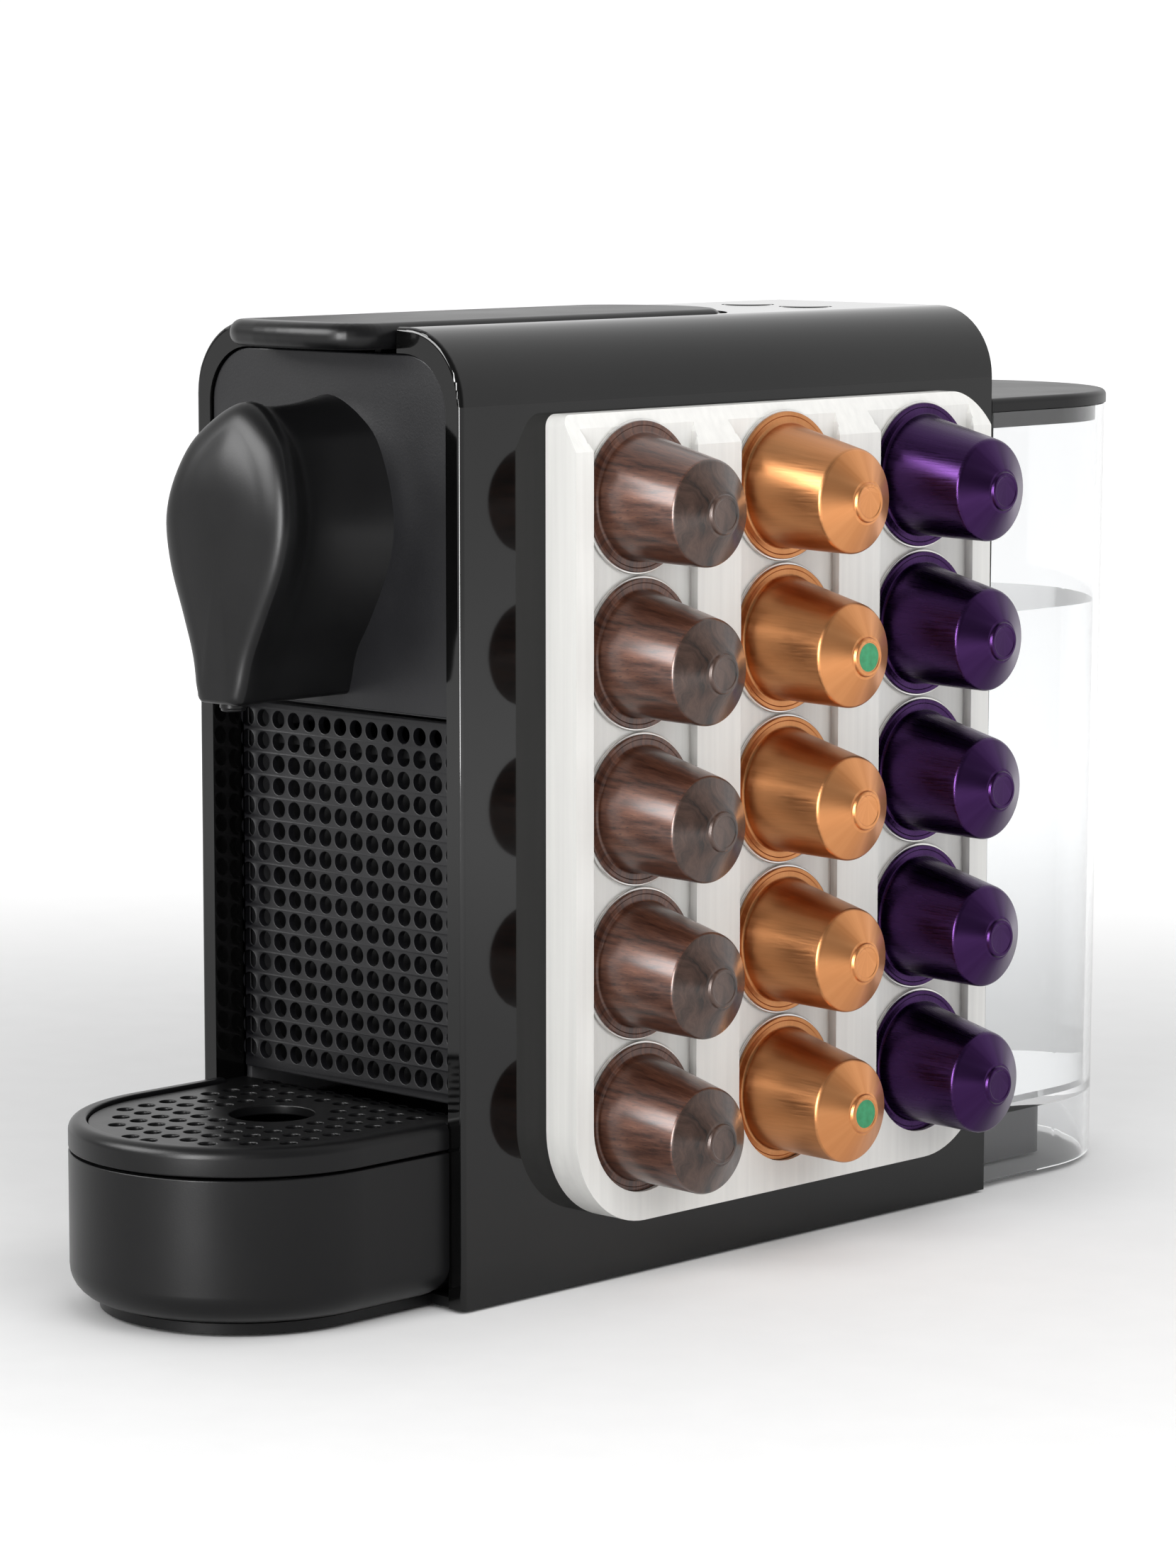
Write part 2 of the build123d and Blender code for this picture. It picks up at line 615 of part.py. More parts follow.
for name, x in (("short", -BUTTON_X), ("long", BUTTON_X)):
    with BuildPart() as button:
        head_bottom = BUTTON_TOP - BUTTON_HEAD
        rod(Plane(origin=(x, BUTTON_Y, head_bottom)), BUTTON_R, BUTTON_HEAD)
        fillet(button.faces().sort_by(Axis.Z)[-1].edges(), 0.8)
        rod(Plane(origin=(x, BUTTON_Y, STEM_BOTTOM)), STEM_R, head_bottom - STEM_BOTTOM)
    save(button, f"{name}_button")

    with BuildPart() as button_spring:
        coil_height = head_bottom - DECK_TOP - 1.2
        with BuildLine() as coil:
            Helix(
                pitch=coil_height / 4,
                height=coil_height,
                radius=4.0,
                center=(x, BUTTON_Y, DECK_TOP + 0.6),
            )
        with BuildSketch(Plane(origin=coil.line @ 0, z_dir=coil.line % 0)):
            Circle(0.4)
        sweep(path=coil.line, is_frenet=True)
    save(button_spring, f"{name}_button_spring")

# ---------------------------------------------------------------- drip tray, grille and bin

with BuildPart() as tray_body:
    with BuildSketch(at_z(TRAY_BOTTOM)):
        d_plan(TRAY_R, TRAY_CENTRE_Y, TRAY_BACK_Y)
    extrude(amount=TRAY_TOP - TRAY_BOTTOM)
    low_edges = tray_body.faces().sort_by(Axis.Z)[0].edges().sort_by(Axis.Y)[:-1]
    fillet(low_edges, 7.0)
    box_between((-TRAY_TAIL_HALF, TRAY_BACK_Y - 12, TRAY_BOTTOM), (TRAY_TAIL_HALF, TRAY_TAIL_Y, TRAY_TOP))
    with BuildSketch(at_z(TRAY_BOTTOM + 9)):
        d_plan(TRAY_R - TRAY_WALL, TRAY_CENTRE_Y, TRAY_BACK_Y)
    extrude(amount=TRAY_TOP, mode=Mode.SUBTRACT)
    with BuildSketch(at_z(TRAY_BOTTOM + TRAY_WALL)):
        d_plan(TRAY_R - 9, TRAY_CENTRE_Y, TRAY_BACK_Y)
    extrude(amount=TRAY_TOP, mode=Mode.SUBTRACT)
    box_between(
        (-TRAY_TAIL_HALF + TRAY_WALL, TRAY_BACK_Y - 14, TRAY_BOTTOM + TRAY_WALL),
        (TRAY_TAIL_HALF - TRAY_WALL, TRAY_TAIL_Y - TRAY_WALL, TRAY_TOP + 1),
        mode=Mode.SUBTRACT,
    )
save(tray_body, "tray_body")

with BuildPart() as drip_grille:
    with BuildSketch(at_z(GRILLE_BOTTOM)):
        d_plan(TRAY_R, TRAY_CENTRE_Y, TRAY_BACK_Y)
    extrude(amount=GRILLE_TOP - GRILLE_BOTTOM)
    fillet(drip_grille.faces().sort_by(Axis.Z)[-1].edges().sort_by(Axis.Y)[:-1], 2.0)
    box_between((-40.4, TRAY_BACK_Y - 12, GRILLE_BOTTOM), (40.4, BIN_FRONT_Y - GAP, GRILLE_PLATE))
    with BuildSketch(at_z(GRILLE_BOTTOM - 1)):
        d_plan(TRAY_R - 2.4, TRAY_CENTRE_Y, TRAY_BACK_Y - 1)
    extrude(amount=GRILLE_PLATE - 2.4 - GRILLE_BOTTOM + 1, mode=Mode.SUBTRACT)
    with BuildSketch(at_z(GRILLE_PLATE)):
        d_plan(TRAY_R - GRILLE_RIM, TRAY_CENTRE_Y, TRAY_BACK_Y + 1)
    extrude(amount=5, mode=Mode.SUBTRACT)
    with BuildSketch(at_z(GRILLE_BOTTOM - 1)):
        for row in range(11):
            y = TRAY_CENTRE_Y - 32.6 + row * GRILLE_PITCH_Y
            for column in range(-6, 6):
                x = (column + 0.5) * GRILLE_PITCH_X
                reach = math.hypot(x, min(y - TRAY_CENTRE_Y, 0))
                clear_of_drain = math.hypot(x, y - DRAIN_Y) > DRAIN_R + GRILLE_HOLE_R + 1.2
                if reach < TRAY_R - GRILLE_RIM - GRILLE_HOLE_R - 1.0 and clear_of_drain:
                    with Locations((x, y)):
                        Circle(GRILLE_HOLE_R)
        with Locations((0, DRAIN_Y)):
            Circle(DRAIN_R)
    extrude(amount=GRILLE_TOP, mode=Mode.SUBTRACT)
save(drip_grille, "drip_grille")

with BuildPart() as bin_front:
    with BuildSketch(at_y(BIN_FRONT_Y)):
        with Locations((0, (BIN_BOTTOM + BIN_FRONT_TOP) / 2)):
            Rectangle(2 * BIN_HALF, BIN_FRONT_TOP - BIN_BOTTOM)
        with Locations((0, BIN_HOLES_MID_Z)):
            with GridLocations(BIN_HOLE_PITCH, BIN_HOLE_PITCH, BIN_HOLE_COLUMNS, BIN_HOLE_ROWS):
                Circle(BIN_HOLE_R, mode=Mode.SUBTRACT)
    extrude(amount=-BIN_FRONT_THICK)
save(bin_front, "bin_front")

with BuildPart() as bin_tub:
    box_between((-TUB_HALF, TUB_FRONT_Y, BIN_BOTTOM), (TUB_HALF, TUB_BACK_Y, TUB_TOP))
    fillet(bin_tub.edges().filter_by(Axis.Z), 4)
    box_between(
        (-TUB_HALF + TUB_WALL, TUB_FRONT_Y + TUB_WALL, BIN_BOTTOM + TUB_WALL),
        (TUB_HALF - TUB_WALL, TUB_BACK_Y - TUB_WALL, TUB_TOP + 1),
        mode=Mode.SUBTRACT,
    )
    panel_back = BIN_FRONT_Y + BIN_FRONT_THICK
    for z in (BIN_BOTTOM, TUB_TOP - 3):
        box_between((-30, panel_back, z), (30, TUB_FRONT_Y + 1, z + 2))
save(bin_tub, "bin_tub")

# ---------------------------------------------------------------- water tank

with BuildPart() as tank_shell:
    with BuildSketch(at_z(TANK_BOTTOM)):
        d_plan(TANK_R_BOTTOM, TANK_CENTRE_Y, TANK_FRONT_Y)
    with BuildSketch(at_z(TANK_TOP)):
        d_plan(TANK_R_TOP, TANK_CENTRE_Y, TANK_FRONT_Y)
    loft()
    with BuildSketch(at_z(TANK_FLOOR + TANK_FLOOR_THICK)):
        d_plan(TANK_R_BOTTOM - TANK_WALL, TANK_CENTRE_Y, TANK_FRONT_Y + TANK_WALL)
    with BuildSketch(at_z(TANK_TOP)):
        d_plan(TANK_R_TOP - TANK_WALL, TANK_CENTRE_Y, TANK_FRONT_Y + TANK_WALL)
    loft(mode=Mode.SUBTRACT)
    with BuildSketch(at_z(TANK_BOTTOM)):
        d_plan(TANK_R_BOTTOM - TANK_WALL, TANK_CENTRE_Y, TANK_FRONT_Y + TANK_WALL)
    extrude(amount=TANK_FLOOR - TANK_BOTTOM, mode=Mode.SUBTRACT)
    box_between(
        (-DOCK_HALF - 1, TANK_FRONT_Y - 1, 0),
        (DOCK_HALF + 1, TANK_FRONT_Y + 3, DOCK_TOP + 0.8),
        mode=Mode.SUBTRACT,
    )
    rod(Plane(origin=(0, VALVE_Y, TANK_FLOOR - 1)), VALVE_R, 6, mode=Mode.SUBTRACT)
save(tank_shell, "tank_shell")

with BuildPart() as tank_valve:
    floor_top = TANK_FLOOR + TANK_FLOOR_THICK
    rod(Plane(origin=(0, VALVE_Y, 10)), VALVE_R, floor_top + 1.6 - 10)
    rod(Plane(origin=(0, VALVE_Y, floor_top)), VALVE_R + 2.5, 1.6)
    rod(Plane(origin=(0, VALVE_Y, 9)), 2.0, 20, mode=Mode.SUBTRACT)
save(tank_valve, "tank_valve")

with BuildPart() as tank_water:
    skin = TANK_WALL + 0.1
    with BuildSketch(at_z(TANK_FLOOR + TANK_FLOOR_THICK + 1.7)):
        d_plan(TANK_R_BOTTOM - skin, TANK_CENTRE_Y, TANK_FRONT_Y + skin)
    with BuildSketch(at_z(WATER_TOP)):
        water_r = TANK_R_BOTTOM + 0.7 * (TANK_R_TOP - TANK_R_BOTTOM)
        d_plan(water_r - skin, TANK_CENTRE_Y, TANK_FRONT_Y + skin)
    loft()
save(tank_water, "tank_water")

with BuildPart() as tank_lid:
    with BuildSketch(at_z(TANK_TOP + GAP)):
        d_plan(TANK_R_TOP + 0.4, TANK_CENTRE_Y, TANK_FRONT_Y - 0.4)
    extrude(amount=LID_TOP - TANK_TOP - GAP)
    fillet(tank_lid.faces().sort_by(Axis.Z)[-1].edges(), 1.5)
    with BuildSketch(at_z(COLLAR_BOTTOM)):
        d_plan(TANK_R_TOP - TANK_WALL - 0.6, TANK_CENTRE_Y, TANK_FRONT_Y + TANK_WALL + 0.6)
    extrude(amount=TANK_TOP + GAP - COLLAR_BOTTOM)
    with BuildSketch(at_z(COLLAR_BOTTOM - 1)):
        d_plan(TANK_R_TOP - TANK_WALL - 2.6, TANK_CENTRE_Y, TANK_FRONT_Y + TANK_WALL + 2.6)
    extrude(amount=TANK_TOP + GAP - COLLAR_BOTTOM + 1, mode=Mode.SUBTRACT)
save(tank_lid, "tank_lid")

with BuildPart() as tank_dock:
    box_between((-DOCK_HALF, 192.3, PLATE_BOTTOM), (DOCK_HALF, DOCK_REAR_Y, DOCK_TOP))
    fillet(tank_dock.edges().filter_by(Axis.Z).group_by(Axis.Y)[-1], 5)
    fillet(tank_dock.faces().sort_by(Axis.Z)[-1].edges().sort_by(Axis.Y)[1:], 1.2)
    rod(Plane(origin=(0, 185, 9), z_dir=(0, 1, 0)), 4.0, 9)
    rod(Plane(origin=(0, VALVE_Y, 8)), VALVE_R + 0.5, 12, mode=Mode.SUBTRACT)
save(tank_dock, "tank_dock")

# ---------------------------------------------------------------- capsule rack and capsules

rack_face = BODY_HALF + RACK_DEPTH
top_row_z = LOWEST_ROW_Z + (ROWS - 1) * ROW_PITCH


def channel(radius, column_y, funnel):
    """Upright channel in the running sketch: round below, open at the top, wider at the mouth."""
    with Locations((column_y, LOWEST_ROW_Z)):
        Circle(radius)
    with Locations((column_y, (LOWEST_ROW_Z + RACK_TOP + 2) / 2)):
        Rectangle(2 * radius, RACK_TOP + 2 - LOWEST_ROW_Z)
    if funnel:
        mouth_low = RACK_TOP - RACK_BEVEL_Z
        with BuildLine() as mouth:
            Polyline(
                (column_y - radius, mouth_low),
                (column_y + radius, mouth_low),
                (column_y + radius + funnel, RACK_TOP + 0.01),
                (column_y - radius - funnel, RACK_TOP + 0.01),
                close=True,
            )
        make_face(mouth.edges())


with BuildPart() as capsule_rack:
    with BuildSketch(at_x(BODY_HALF)) as outline_sketch:
        with Locations(((RACK_FRONT_Y + RACK_BACK_Y) / 2, (RACK_BOTTOM + RACK_TOP) / 2)):
            Rectangle(RACK_BACK_Y - RACK_FRONT_Y, RACK_TOP - RACK_BOTTOM)
        low_corners = outline_sketch.vertices().group_by(Axis.Y)[0]
        fillet(low_corners, RACK_CORNER_BOTTOM)
        top_corners = outline_sketch.vertices().group_by(Axis.Y)[-1].sort_by(Axis.X)
        fillet(top_corners[0], RACK_CORNER_FRONT)
        top_corners = outline_sketch.vertices().group_by(Axis.Y)[-1].sort_by(Axis.X)
        fillet(top_corners[-1], RACK_CORNER_BACK)
    extrude(amount=RACK_DEPTH)
    for column_y in COLUMN_Y:
        with BuildSketch(at_x(BODY_HALF + GROOVE_FLOOR)):
            channel(GROOVE_R, column_y, 0)
        extrude(amount=LIP_FLOOR - GROOVE_FLOOR, mode=Mode.SUBTRACT)
        with BuildSketch(at_x(BODY_HALF + GROOVE_FLOOR)):
            channel(MOUTH_R, column_y, FUNNEL)
        extrude(amount=RACK_DEPTH, mode=Mode.SUBTRACT)
    with BuildSketch(at_y(RACK_FRONT_Y - 1)):
        with BuildLine():
            Polyline(
                (rack_face + 1, RACK_TOP - RACK_BEVEL_Z - 1),
                (rack_face + 1, RACK_TOP + 1),
                (rack_face - RACK_BEVEL_X - 0.6, RACK_TOP + 1),
                (rack_face, RACK_TOP - RACK_BEVEL_Z),
                close=True,
            )
        make_face()
    extrude(amount=-(RACK_BACK_Y - RACK_FRONT_Y + 2), mode=Mode.SUBTRACT)
save(capsule_rack, "capsule_rack")

rim_front = BODY_HALF + RIM_BACK + RIM_THICK
cup_slope = (CUP_R_RIM - CUP_R_END) / (CUP_END - RIM_BACK - RIM_THICK)

for kind, column_y in zip(CAPSULE_KINDS, COLUMN_Y):
    for row in range(ROWS):
        row_z = top_row_z - row * ROW_PITCH
        lean = math.radians(CAPSULE_LEAN)
        cup_axis = (math.cos(lean), 0, -math.sin(lean))
        rim_centre = (rim_front, column_y, row_z)
        with BuildPart() as capsule:
            # Half section of the cup: u runs along its leaning axis from the rim, v is outward.
            cup_plane = Plane(origin=rim_centre, x_dir=cup_axis, z_dir=(0, -1, 0))
            with BuildSketch(cup_plane):
                with BuildLine():
                    behind = -3.0
                    cup_end = BODY_HALF + CUP_END - rim_front
                    nub_base = BODY_HALF + NUB_BASE - rim_front
                    nub_end = BODY_HALF + NUB_END - rim_front
                    profile = [
                        (behind, 0),
                        (behind, CUP_R_RIM - cup_slope * behind),
                        (cup_end, CUP_R_END),
                        (nub_base, NUB_R),
                        (nub_end, NUB_R - 0.3),
                        (nub_end, 0),
                    ]
                    Polyline(*profile, close=True)
                make_face()
            revolve(axis=Axis(rim_centre, cup_axis))
            box_between(
                (BODY_HALF, column_y - 20, row_z - 20),
                (rim_front - 0.2, column_y + 20, row_z + 20),
                mode=Mode.SUBTRACT,
            )
            rod(Plane(origin=(rim_front, column_y, row_z), z_dir=(-1, 0, 0)), RIM_R, RIM_THICK)
        save(capsule, f"capsule_{kind}_{row + 1}")
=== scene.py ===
"""Looks of the capsule coffee machine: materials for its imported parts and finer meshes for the
pieces that show most. Mesh helpers work in millimetres and finish_piece() scales them to metres.
"""

import json
import math

import bmesh
import bpy
from mathutils import Matrix, Vector


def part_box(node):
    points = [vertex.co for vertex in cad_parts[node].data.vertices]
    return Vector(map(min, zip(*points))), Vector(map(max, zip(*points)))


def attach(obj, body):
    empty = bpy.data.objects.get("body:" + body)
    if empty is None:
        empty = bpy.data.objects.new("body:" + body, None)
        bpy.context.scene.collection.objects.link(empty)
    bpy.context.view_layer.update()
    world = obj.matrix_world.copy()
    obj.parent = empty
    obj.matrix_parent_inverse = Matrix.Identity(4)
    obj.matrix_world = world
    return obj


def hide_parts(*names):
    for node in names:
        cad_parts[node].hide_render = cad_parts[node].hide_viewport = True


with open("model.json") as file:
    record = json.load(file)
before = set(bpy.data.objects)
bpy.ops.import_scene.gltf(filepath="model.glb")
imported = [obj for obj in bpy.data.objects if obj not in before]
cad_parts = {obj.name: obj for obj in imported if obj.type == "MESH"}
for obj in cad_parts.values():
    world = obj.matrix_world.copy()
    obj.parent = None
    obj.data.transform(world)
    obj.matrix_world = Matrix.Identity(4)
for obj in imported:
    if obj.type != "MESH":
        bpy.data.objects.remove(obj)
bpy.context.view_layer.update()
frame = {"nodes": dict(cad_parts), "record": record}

MM = 0.001
SMOOTH_ANGLE = math.radians(32)

# ---------------------------------------------------------------- measures of the pieces, mm


def span(node):
    """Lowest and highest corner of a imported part, in millimetres."""
    low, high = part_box(node)
    return low / MM, high / MM


# ---------------------------------------------------------------- mesh helpers


def rounded(corners, closed=True, steps=6):
    """Points of a polygon whose corners (a, b, radius) are rounded off."""
    points = []
    last = len(corners) - 1
    for index, (a, b, radius) in enumerate(corners):
        here = Vector((a, b))
        if radius == 0 or (not closed and index in (0, last)):
            points.append((a, b))
            continue
        before = (Vector(corners[index - 1][:2]) - here).normalized()
        after = (Vector(corners[(index + 1) % len(corners)][:2]) - here).normalized()
        half = before.angle(after) / 2
        centre = here + (before + after).normalized() * radius / math.sin(half)
        start = here + before * radius / math.tan(half) - centre
        end = here + after * radius / math.tan(half) - centre
        first = math.atan2(start.y, start.x)
        turn = math.remainder(math.atan2(end.y, end.x) - first, math.tau)
        for step in range(steps + 1):
            angle = first + turn * step / steps
            points.append((centre.x + radius * math.cos(angle), centre.y + radius * math.sin(angle)))
    return points


def arc(centre, radius, start, end, steps):
    """Points of a circular arc, angles in degrees."""
    angles = [math.radians(start + (end - start) * k / steps) for k in range(steps + 1)]
    return [(centre[0] + radius * math.cos(t), centre[1] + radius * math.sin(t)) for t in angles]


def smooth(share):
    """Soft step between 0 and 1."""
    return share * share * (3 - 2 * share)


def circle(centre, radius, steps):
    """Points of a full circle, without the closing repeat."""
    return arc(centre, radius, 0, 360, steps)[:-1]


def plate(outlines, thickness, bevel=0.0, resolution=2):
    """Flat plate in the XY plane, centred on it, with rounded edges; later outlines are holes."""
    curve = bpy.data.curves.new("outline", "CURVE")
    curve.dimensions = "2D"
    curve.fill_mode = "BOTH"
    curve.extrude = thickness / 2 - bevel
    curve.bevel_depth = bevel
    curve.bevel_resolution = resolution
    for points in outlines:
        spline = curve.splines.new("POLY")
        spline.points.add(len(points) - 1)
        for point, (a, b) in zip(spline.points, points):
            point.co = (a, b, 0, 1)
        spline.use_cyclic_u = True
    holder = bpy.data.objects.new("outline", curve)
    bpy.context.scene.collection.objects.link(holder)
    graph = bpy.context.evaluated_depsgraph_get()
    mesh = bpy.data.meshes.new_from_object(holder.evaluated_get(graph))
    bpy.data.objects.remove(holder)
    shape = bmesh.new()
    shape.from_mesh(mesh)
    bmesh.ops.remove_doubles(shape, verts=shape.verts, dist=1e-4)
    return shape


def stack(rings):
    """Closed skin over rings of 3-D points that all have the same count."""
    shape = bmesh.new()
    loops = [[shape.verts.new(point) for point in ring] for ring in rings]
    count = len(rings[0])
    for lower, upper in zip(loops, loops[1:]):
        for k in range(count):
            nxt = (k + 1) % count
            shape.faces.new((lower[k], lower[nxt], upper[nxt], upper[k]))
    shape.faces.new(reversed(loops[0]))
    shape.faces.new(loops[-1])
    bmesh.ops.recalc_face_normals(shape, faces=shape.faces)
    return shape


def lathe(profile, steps=96):
    """Body turned around the X axis from (along, radius, material) points; ends meet the axis."""
    shape = bmesh.new()
    loops = []
    for along, radius, _ in profile:
        if radius == 0:
            loops.append([shape.verts.new((along, 0, 0))])
            continue
        turns = [math.tau * k / steps for k in range(steps)]
        ring = [(along, radius * math.cos(t), radius * math.sin(t)) for t in turns]
        loops.append([shape.verts.new(point) for point in ring])
    for (_, _, material), lower, upper in zip(profile, loops, loops[1:]):
        for k in range(steps):
            nxt = (k + 1) % steps
            corners = [lower[k % len(lower)], lower[nxt % len(lower)]]
            corners += [upper[nxt % len(upper)], upper[k % len(upper)]]
            unique = list(dict.fromkeys(corners))
            shape.faces.new(unique).material_index = material
    bmesh.ops.recalc_face_normals(shape, faces=shape.faces)
    return shape


def axes(origin, across, up):
    """Matrix that puts a plate's X along across, its Y along up, at origin."""
    across, up = Vector(across), Vector(up)
    turn = Matrix((across, up, across.cross(up))).transposed().to_4x4()
    return Matrix.Translation(origin) @ turn


def to_mesh(shape, name, matrix=None):
    """Mesh data in millimetres from a bmesh."""
    if matrix is not None:
        bmesh.ops.transform(shape, matrix=matrix, verts=shape.verts)
        if matrix.determinant() < 0:
            bmesh.ops.reverse_faces(shape, faces=shape.faces)
    mesh = bpy.data.meshes.new(name)
    shape.to_mesh(mesh)
    shape.free()
    return mesh


def finish_piece(name, mesh, body, materials, nodes=(), centre=(0, 0, 0), angle=SMOOTH_ANGLE):
    """A piece from a mesh in millimetres around centre: smooth shading, finish, body, CAD nodes."""
    mesh.transform(Matrix.Scale(MM, 4))
    mesh.shade_smooth()
    mesh.set_sharp_from_angle(angle=angle)
    piece = bpy.data.objects.new(name, mesh)
    bpy.context.scene.collection.objects.link(piece)
    piece.location = Vector(centre) * MM
    if not mesh.materials:
        for material in materials:
            mesh.materials.append(material)
    weighted = piece.modifiers.new("even_normals", "WEIGHTED_NORMAL")
    weighted.keep_sharp = True
    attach(piece, body)
    if nodes:
        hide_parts(*nodes)
    return piece


# ---------------------------------------------------------------- materials


class Finish:
    """A Principled material with short ways to add procedural detail."""

    def __init__(self, name, color, roughness, **constants):
        self.material = bpy.data.materials.new(name)
        self.material.use_nodes = True
        self.nodes = self.material.node_tree.nodes
        self.links = self.material.node_tree.links
        self.shader = self.nodes["Principled BSDF"]
        self.shader.inputs["Base Color"].default_value = (*color, 1)
        self.shader.inputs["Roughness"].default_value = roughness
        for key, value in constants.items():
            self.shader.inputs[key.replace("_", " ")].default_value = value
        self.place = self.nodes.new("ShaderNodeTexCoord").outputs["Object"]

    def node(self, kind, inputs, **settings):
        """A node with its settings and its inputs, which are values or sockets."""
        made = self.nodes.new("ShaderNode" + kind)
        for key, value in settings.items():
            setattr(made, key, value)
        for key, value in inputs.items():
            if isinstance(value, bpy.types.NodeSocket):
                self.links.new(value, made.inputs[key])
            else:
                made.inputs[key].default_value = value
        return made

    def noise(self, per_metre, stretch=(1, 1, 1), detail=3.0, place=None, rough=0.5):
        """Noise value; stretch scales each axis on its own."""
        source = self.place if place is None else place
        moved = self.node("Mapping", {"Vector": source, "Scale": stretch}).outputs["Vector"]
        inputs = {"Vector": moved, "Scale": per_metre, "Detail": detail, "Roughness": rough}
        return self.node("TexNoise", inputs).outputs["Fac"]

    def spread(self, value, low, high):
        """Value from 0..1 mapped to low..high."""
        inputs = {"Value": value, "To Min": low, "To Max": high, "From Min": 0.25, "From Max": 0.75}
        return self.node("MapRange", inputs).outputs["Result"]

    def ramp(self, value, stops):
        """Colour ramp of (position, colour) stops."""
        made = self.node("ValToRGB", {"Fac": value})
        elements = made.color_ramp.elements
        while len(elements) < len(stops):
            elements.new(0.5)
        for element, (position, color) in zip(elements, stops):
            element.position = position
            element.color = (*color, 1)
        return made.outputs["Color"]

    def mix(self, factor, first, second, blend="MIX"):
        """Colour mix of two colours or sockets."""
        made = self.nodes.new("ShaderNodeMix")
        made.data_type = "RGBA"
        made.blend_type = blend
        for index, value in ((0, factor), (6, first), (7, second)):
            if isinstance(value, bpy.types.NodeSocket):
                self.links.new(value, made.inputs[index])
            else:
                made.inputs[index].default_value = value if index == 0 else (*value, 1)
        return made.outputs[2]

    def math(self, operation, *values):
        """Arithmetic on values or sockets."""
        made = self.nodes.new("ShaderNodeMath")
        made.operation = operation
        for socket, value in zip(made.inputs, values):
            if isinstance(value, bpy.types.NodeSocket):
                self.links.new(value, socket)
            else:
                socket.default_value = value
        return made.outputs[0]

    def color(self, socket):
        """Feed the base colour."""
        self.links.new(socket, self.shader.inputs["Base Color"])

    def roughness(self, socket):
        """Feed the roughness."""
        self.links.new(socket, self.shader.inputs["Roughness"])

    def bump(self, height, depth_mm, strength=1.0):
        """Add a bump of a height between 0 and 1 times depth."""
        inputs = {"Height": height, "Strength": strength, "Distance": depth_mm * MM}
        made = self.node("Bump", inputs)
        before = self.shader.inputs["Normal"].links
        if before:
            self.links.new(before[0].from_socket, made.inputs["Normal"])
        self.links.new(made.outputs["Normal"], self.shader.inputs["Normal"])


def moulded(name, color, roughness, grain=2600, depth=0.02, variation=0.04, **constants):
    """Injection-moulded plastic: fine spark-eroded grain and slightly uneven sheen."""
    made = Finish(name, color, roughness, **constants)
    cloud = made.noise(38, detail=4)
    made.roughness(made.spread(cloud, roughness - variation, roughness + variation))
    tint = [c * 1.12 for c in color]
    shade = [c * 0.9 for c in color]
    made.color(made.ramp(cloud, ((0.3, shade), (0.7, tint))))
    made.bump(made.noise(grain, detail=2), depth)
    return made.material


def gloss_black():
    """Polished black plastic: very slight orange peel and faint fingerprints of sheen."""
    made = Finish("gloss_black", (0.002, 0.002, 0.002), 0.05, IOR=1.42)
    cloud = made.noise(24, detail=5)
    made.roughness(made.spread(cloud, 0.035, 0.075))
    made.color(made.ramp(cloud, ((0.3, (0.0015, 0.0015, 0.0015)), (0.7, (0.003, 0.003, 0.003)))))
    made.bump(made.noise(120, detail=1), 0.012, 0.5)
    return made.material


def metal(name, color, roughness, stretch=(1, 40, 40), grain=60):
    """Drawn or machined metal with fine lines along X."""
    made = Finish(name, color, roughness, Metallic=1.0)
    lines = made.noise(grain, stretch=stretch, detail=5)
    made.roughness(made.spread(lines, roughness - 0.08, roughness + 0.1))
    dark = [c * 0.8 for c in color]
    made.color(made.ramp(lines, ((0.3, dark), (0.7, color))))
    made.bump(lines, 0.01)
    return made.material


def cast_metal():
    """Die-cast aluminium with a grainy skin."""
    made = Finish("cast_aluminium", (0.52, 0.52, 0.53), 0.42, Metallic=1.0)
    grain = made.noise(900, detail=4)
    made.roughness(made.spread(grain, 0.36, 0.5))
    made.color(made.ramp(grain, ((0.3, (0.42, 0.42, 0.43)), (0.7, (0.56, 0.56, 0.57)))))
    made.bump(grain, 0.05)
    return made.material


def rack_white():
    """Warm white plastic laid in fine upright lines."""
    made = Finish("rack_white", (0.70, 0.695, 0.67), 0.42)
    lines = made.node(
        "TexWave",
        {"Vector": made.place, "Scale": 620.0, "Distortion": 0.6, "Detail": 2.0},
        bands_direction="Y",
    ).outputs["Fac"]
    streaks = made.noise(90, stretch=(6, 6, 0.15), detail=4)
    made.color(made.ramp(streaks, ((0.25, (0.66, 0.655, 0.635)), (0.75, (0.73, 0.725, 0.70)))))
    made.roughness(made.spread(streaks, 0.34, 0.48))
    made.bump(lines, 0.012, 0.6)
    made.bump(streaks, 0.05, 0.5)
    return made.material


def clear_plastic():
    """Clear moulded plastic with faint unevenness."""
    made = Finish("tank_clear", (0.94, 0.945, 0.95), 0.02, Transmission_Weight=1.0, IOR=1.45)
    wave = made.noise(16, detail=2)
    made.roughness(made.spread(wave, 0.0, 0.03))
    made.color(made.ramp(wave, ((0.3, (0.93, 0.935, 0.94)), (0.7, (0.945, 0.95, 0.955)))))
    made.bump(wave, 0.06, 0.4)
    return made.material


def clear_water():
    """Still water, very slightly rippled."""
    made = Finish("water", (0.97, 0.985, 0.99), 0.0, Transmission_Weight=1.0, IOR=1.2)
    wave = made.noise(30, detail=2)
    made.roughness(made.spread(wave, 0.0, 0.01))
    made.color(made.ramp(wave, ((0.3, (0.985, 0.99, 0.99)), (0.7, (0.995, 1.0, 1.0)))))
    made.bump(wave, 0.03, 0.3)
    return made.material


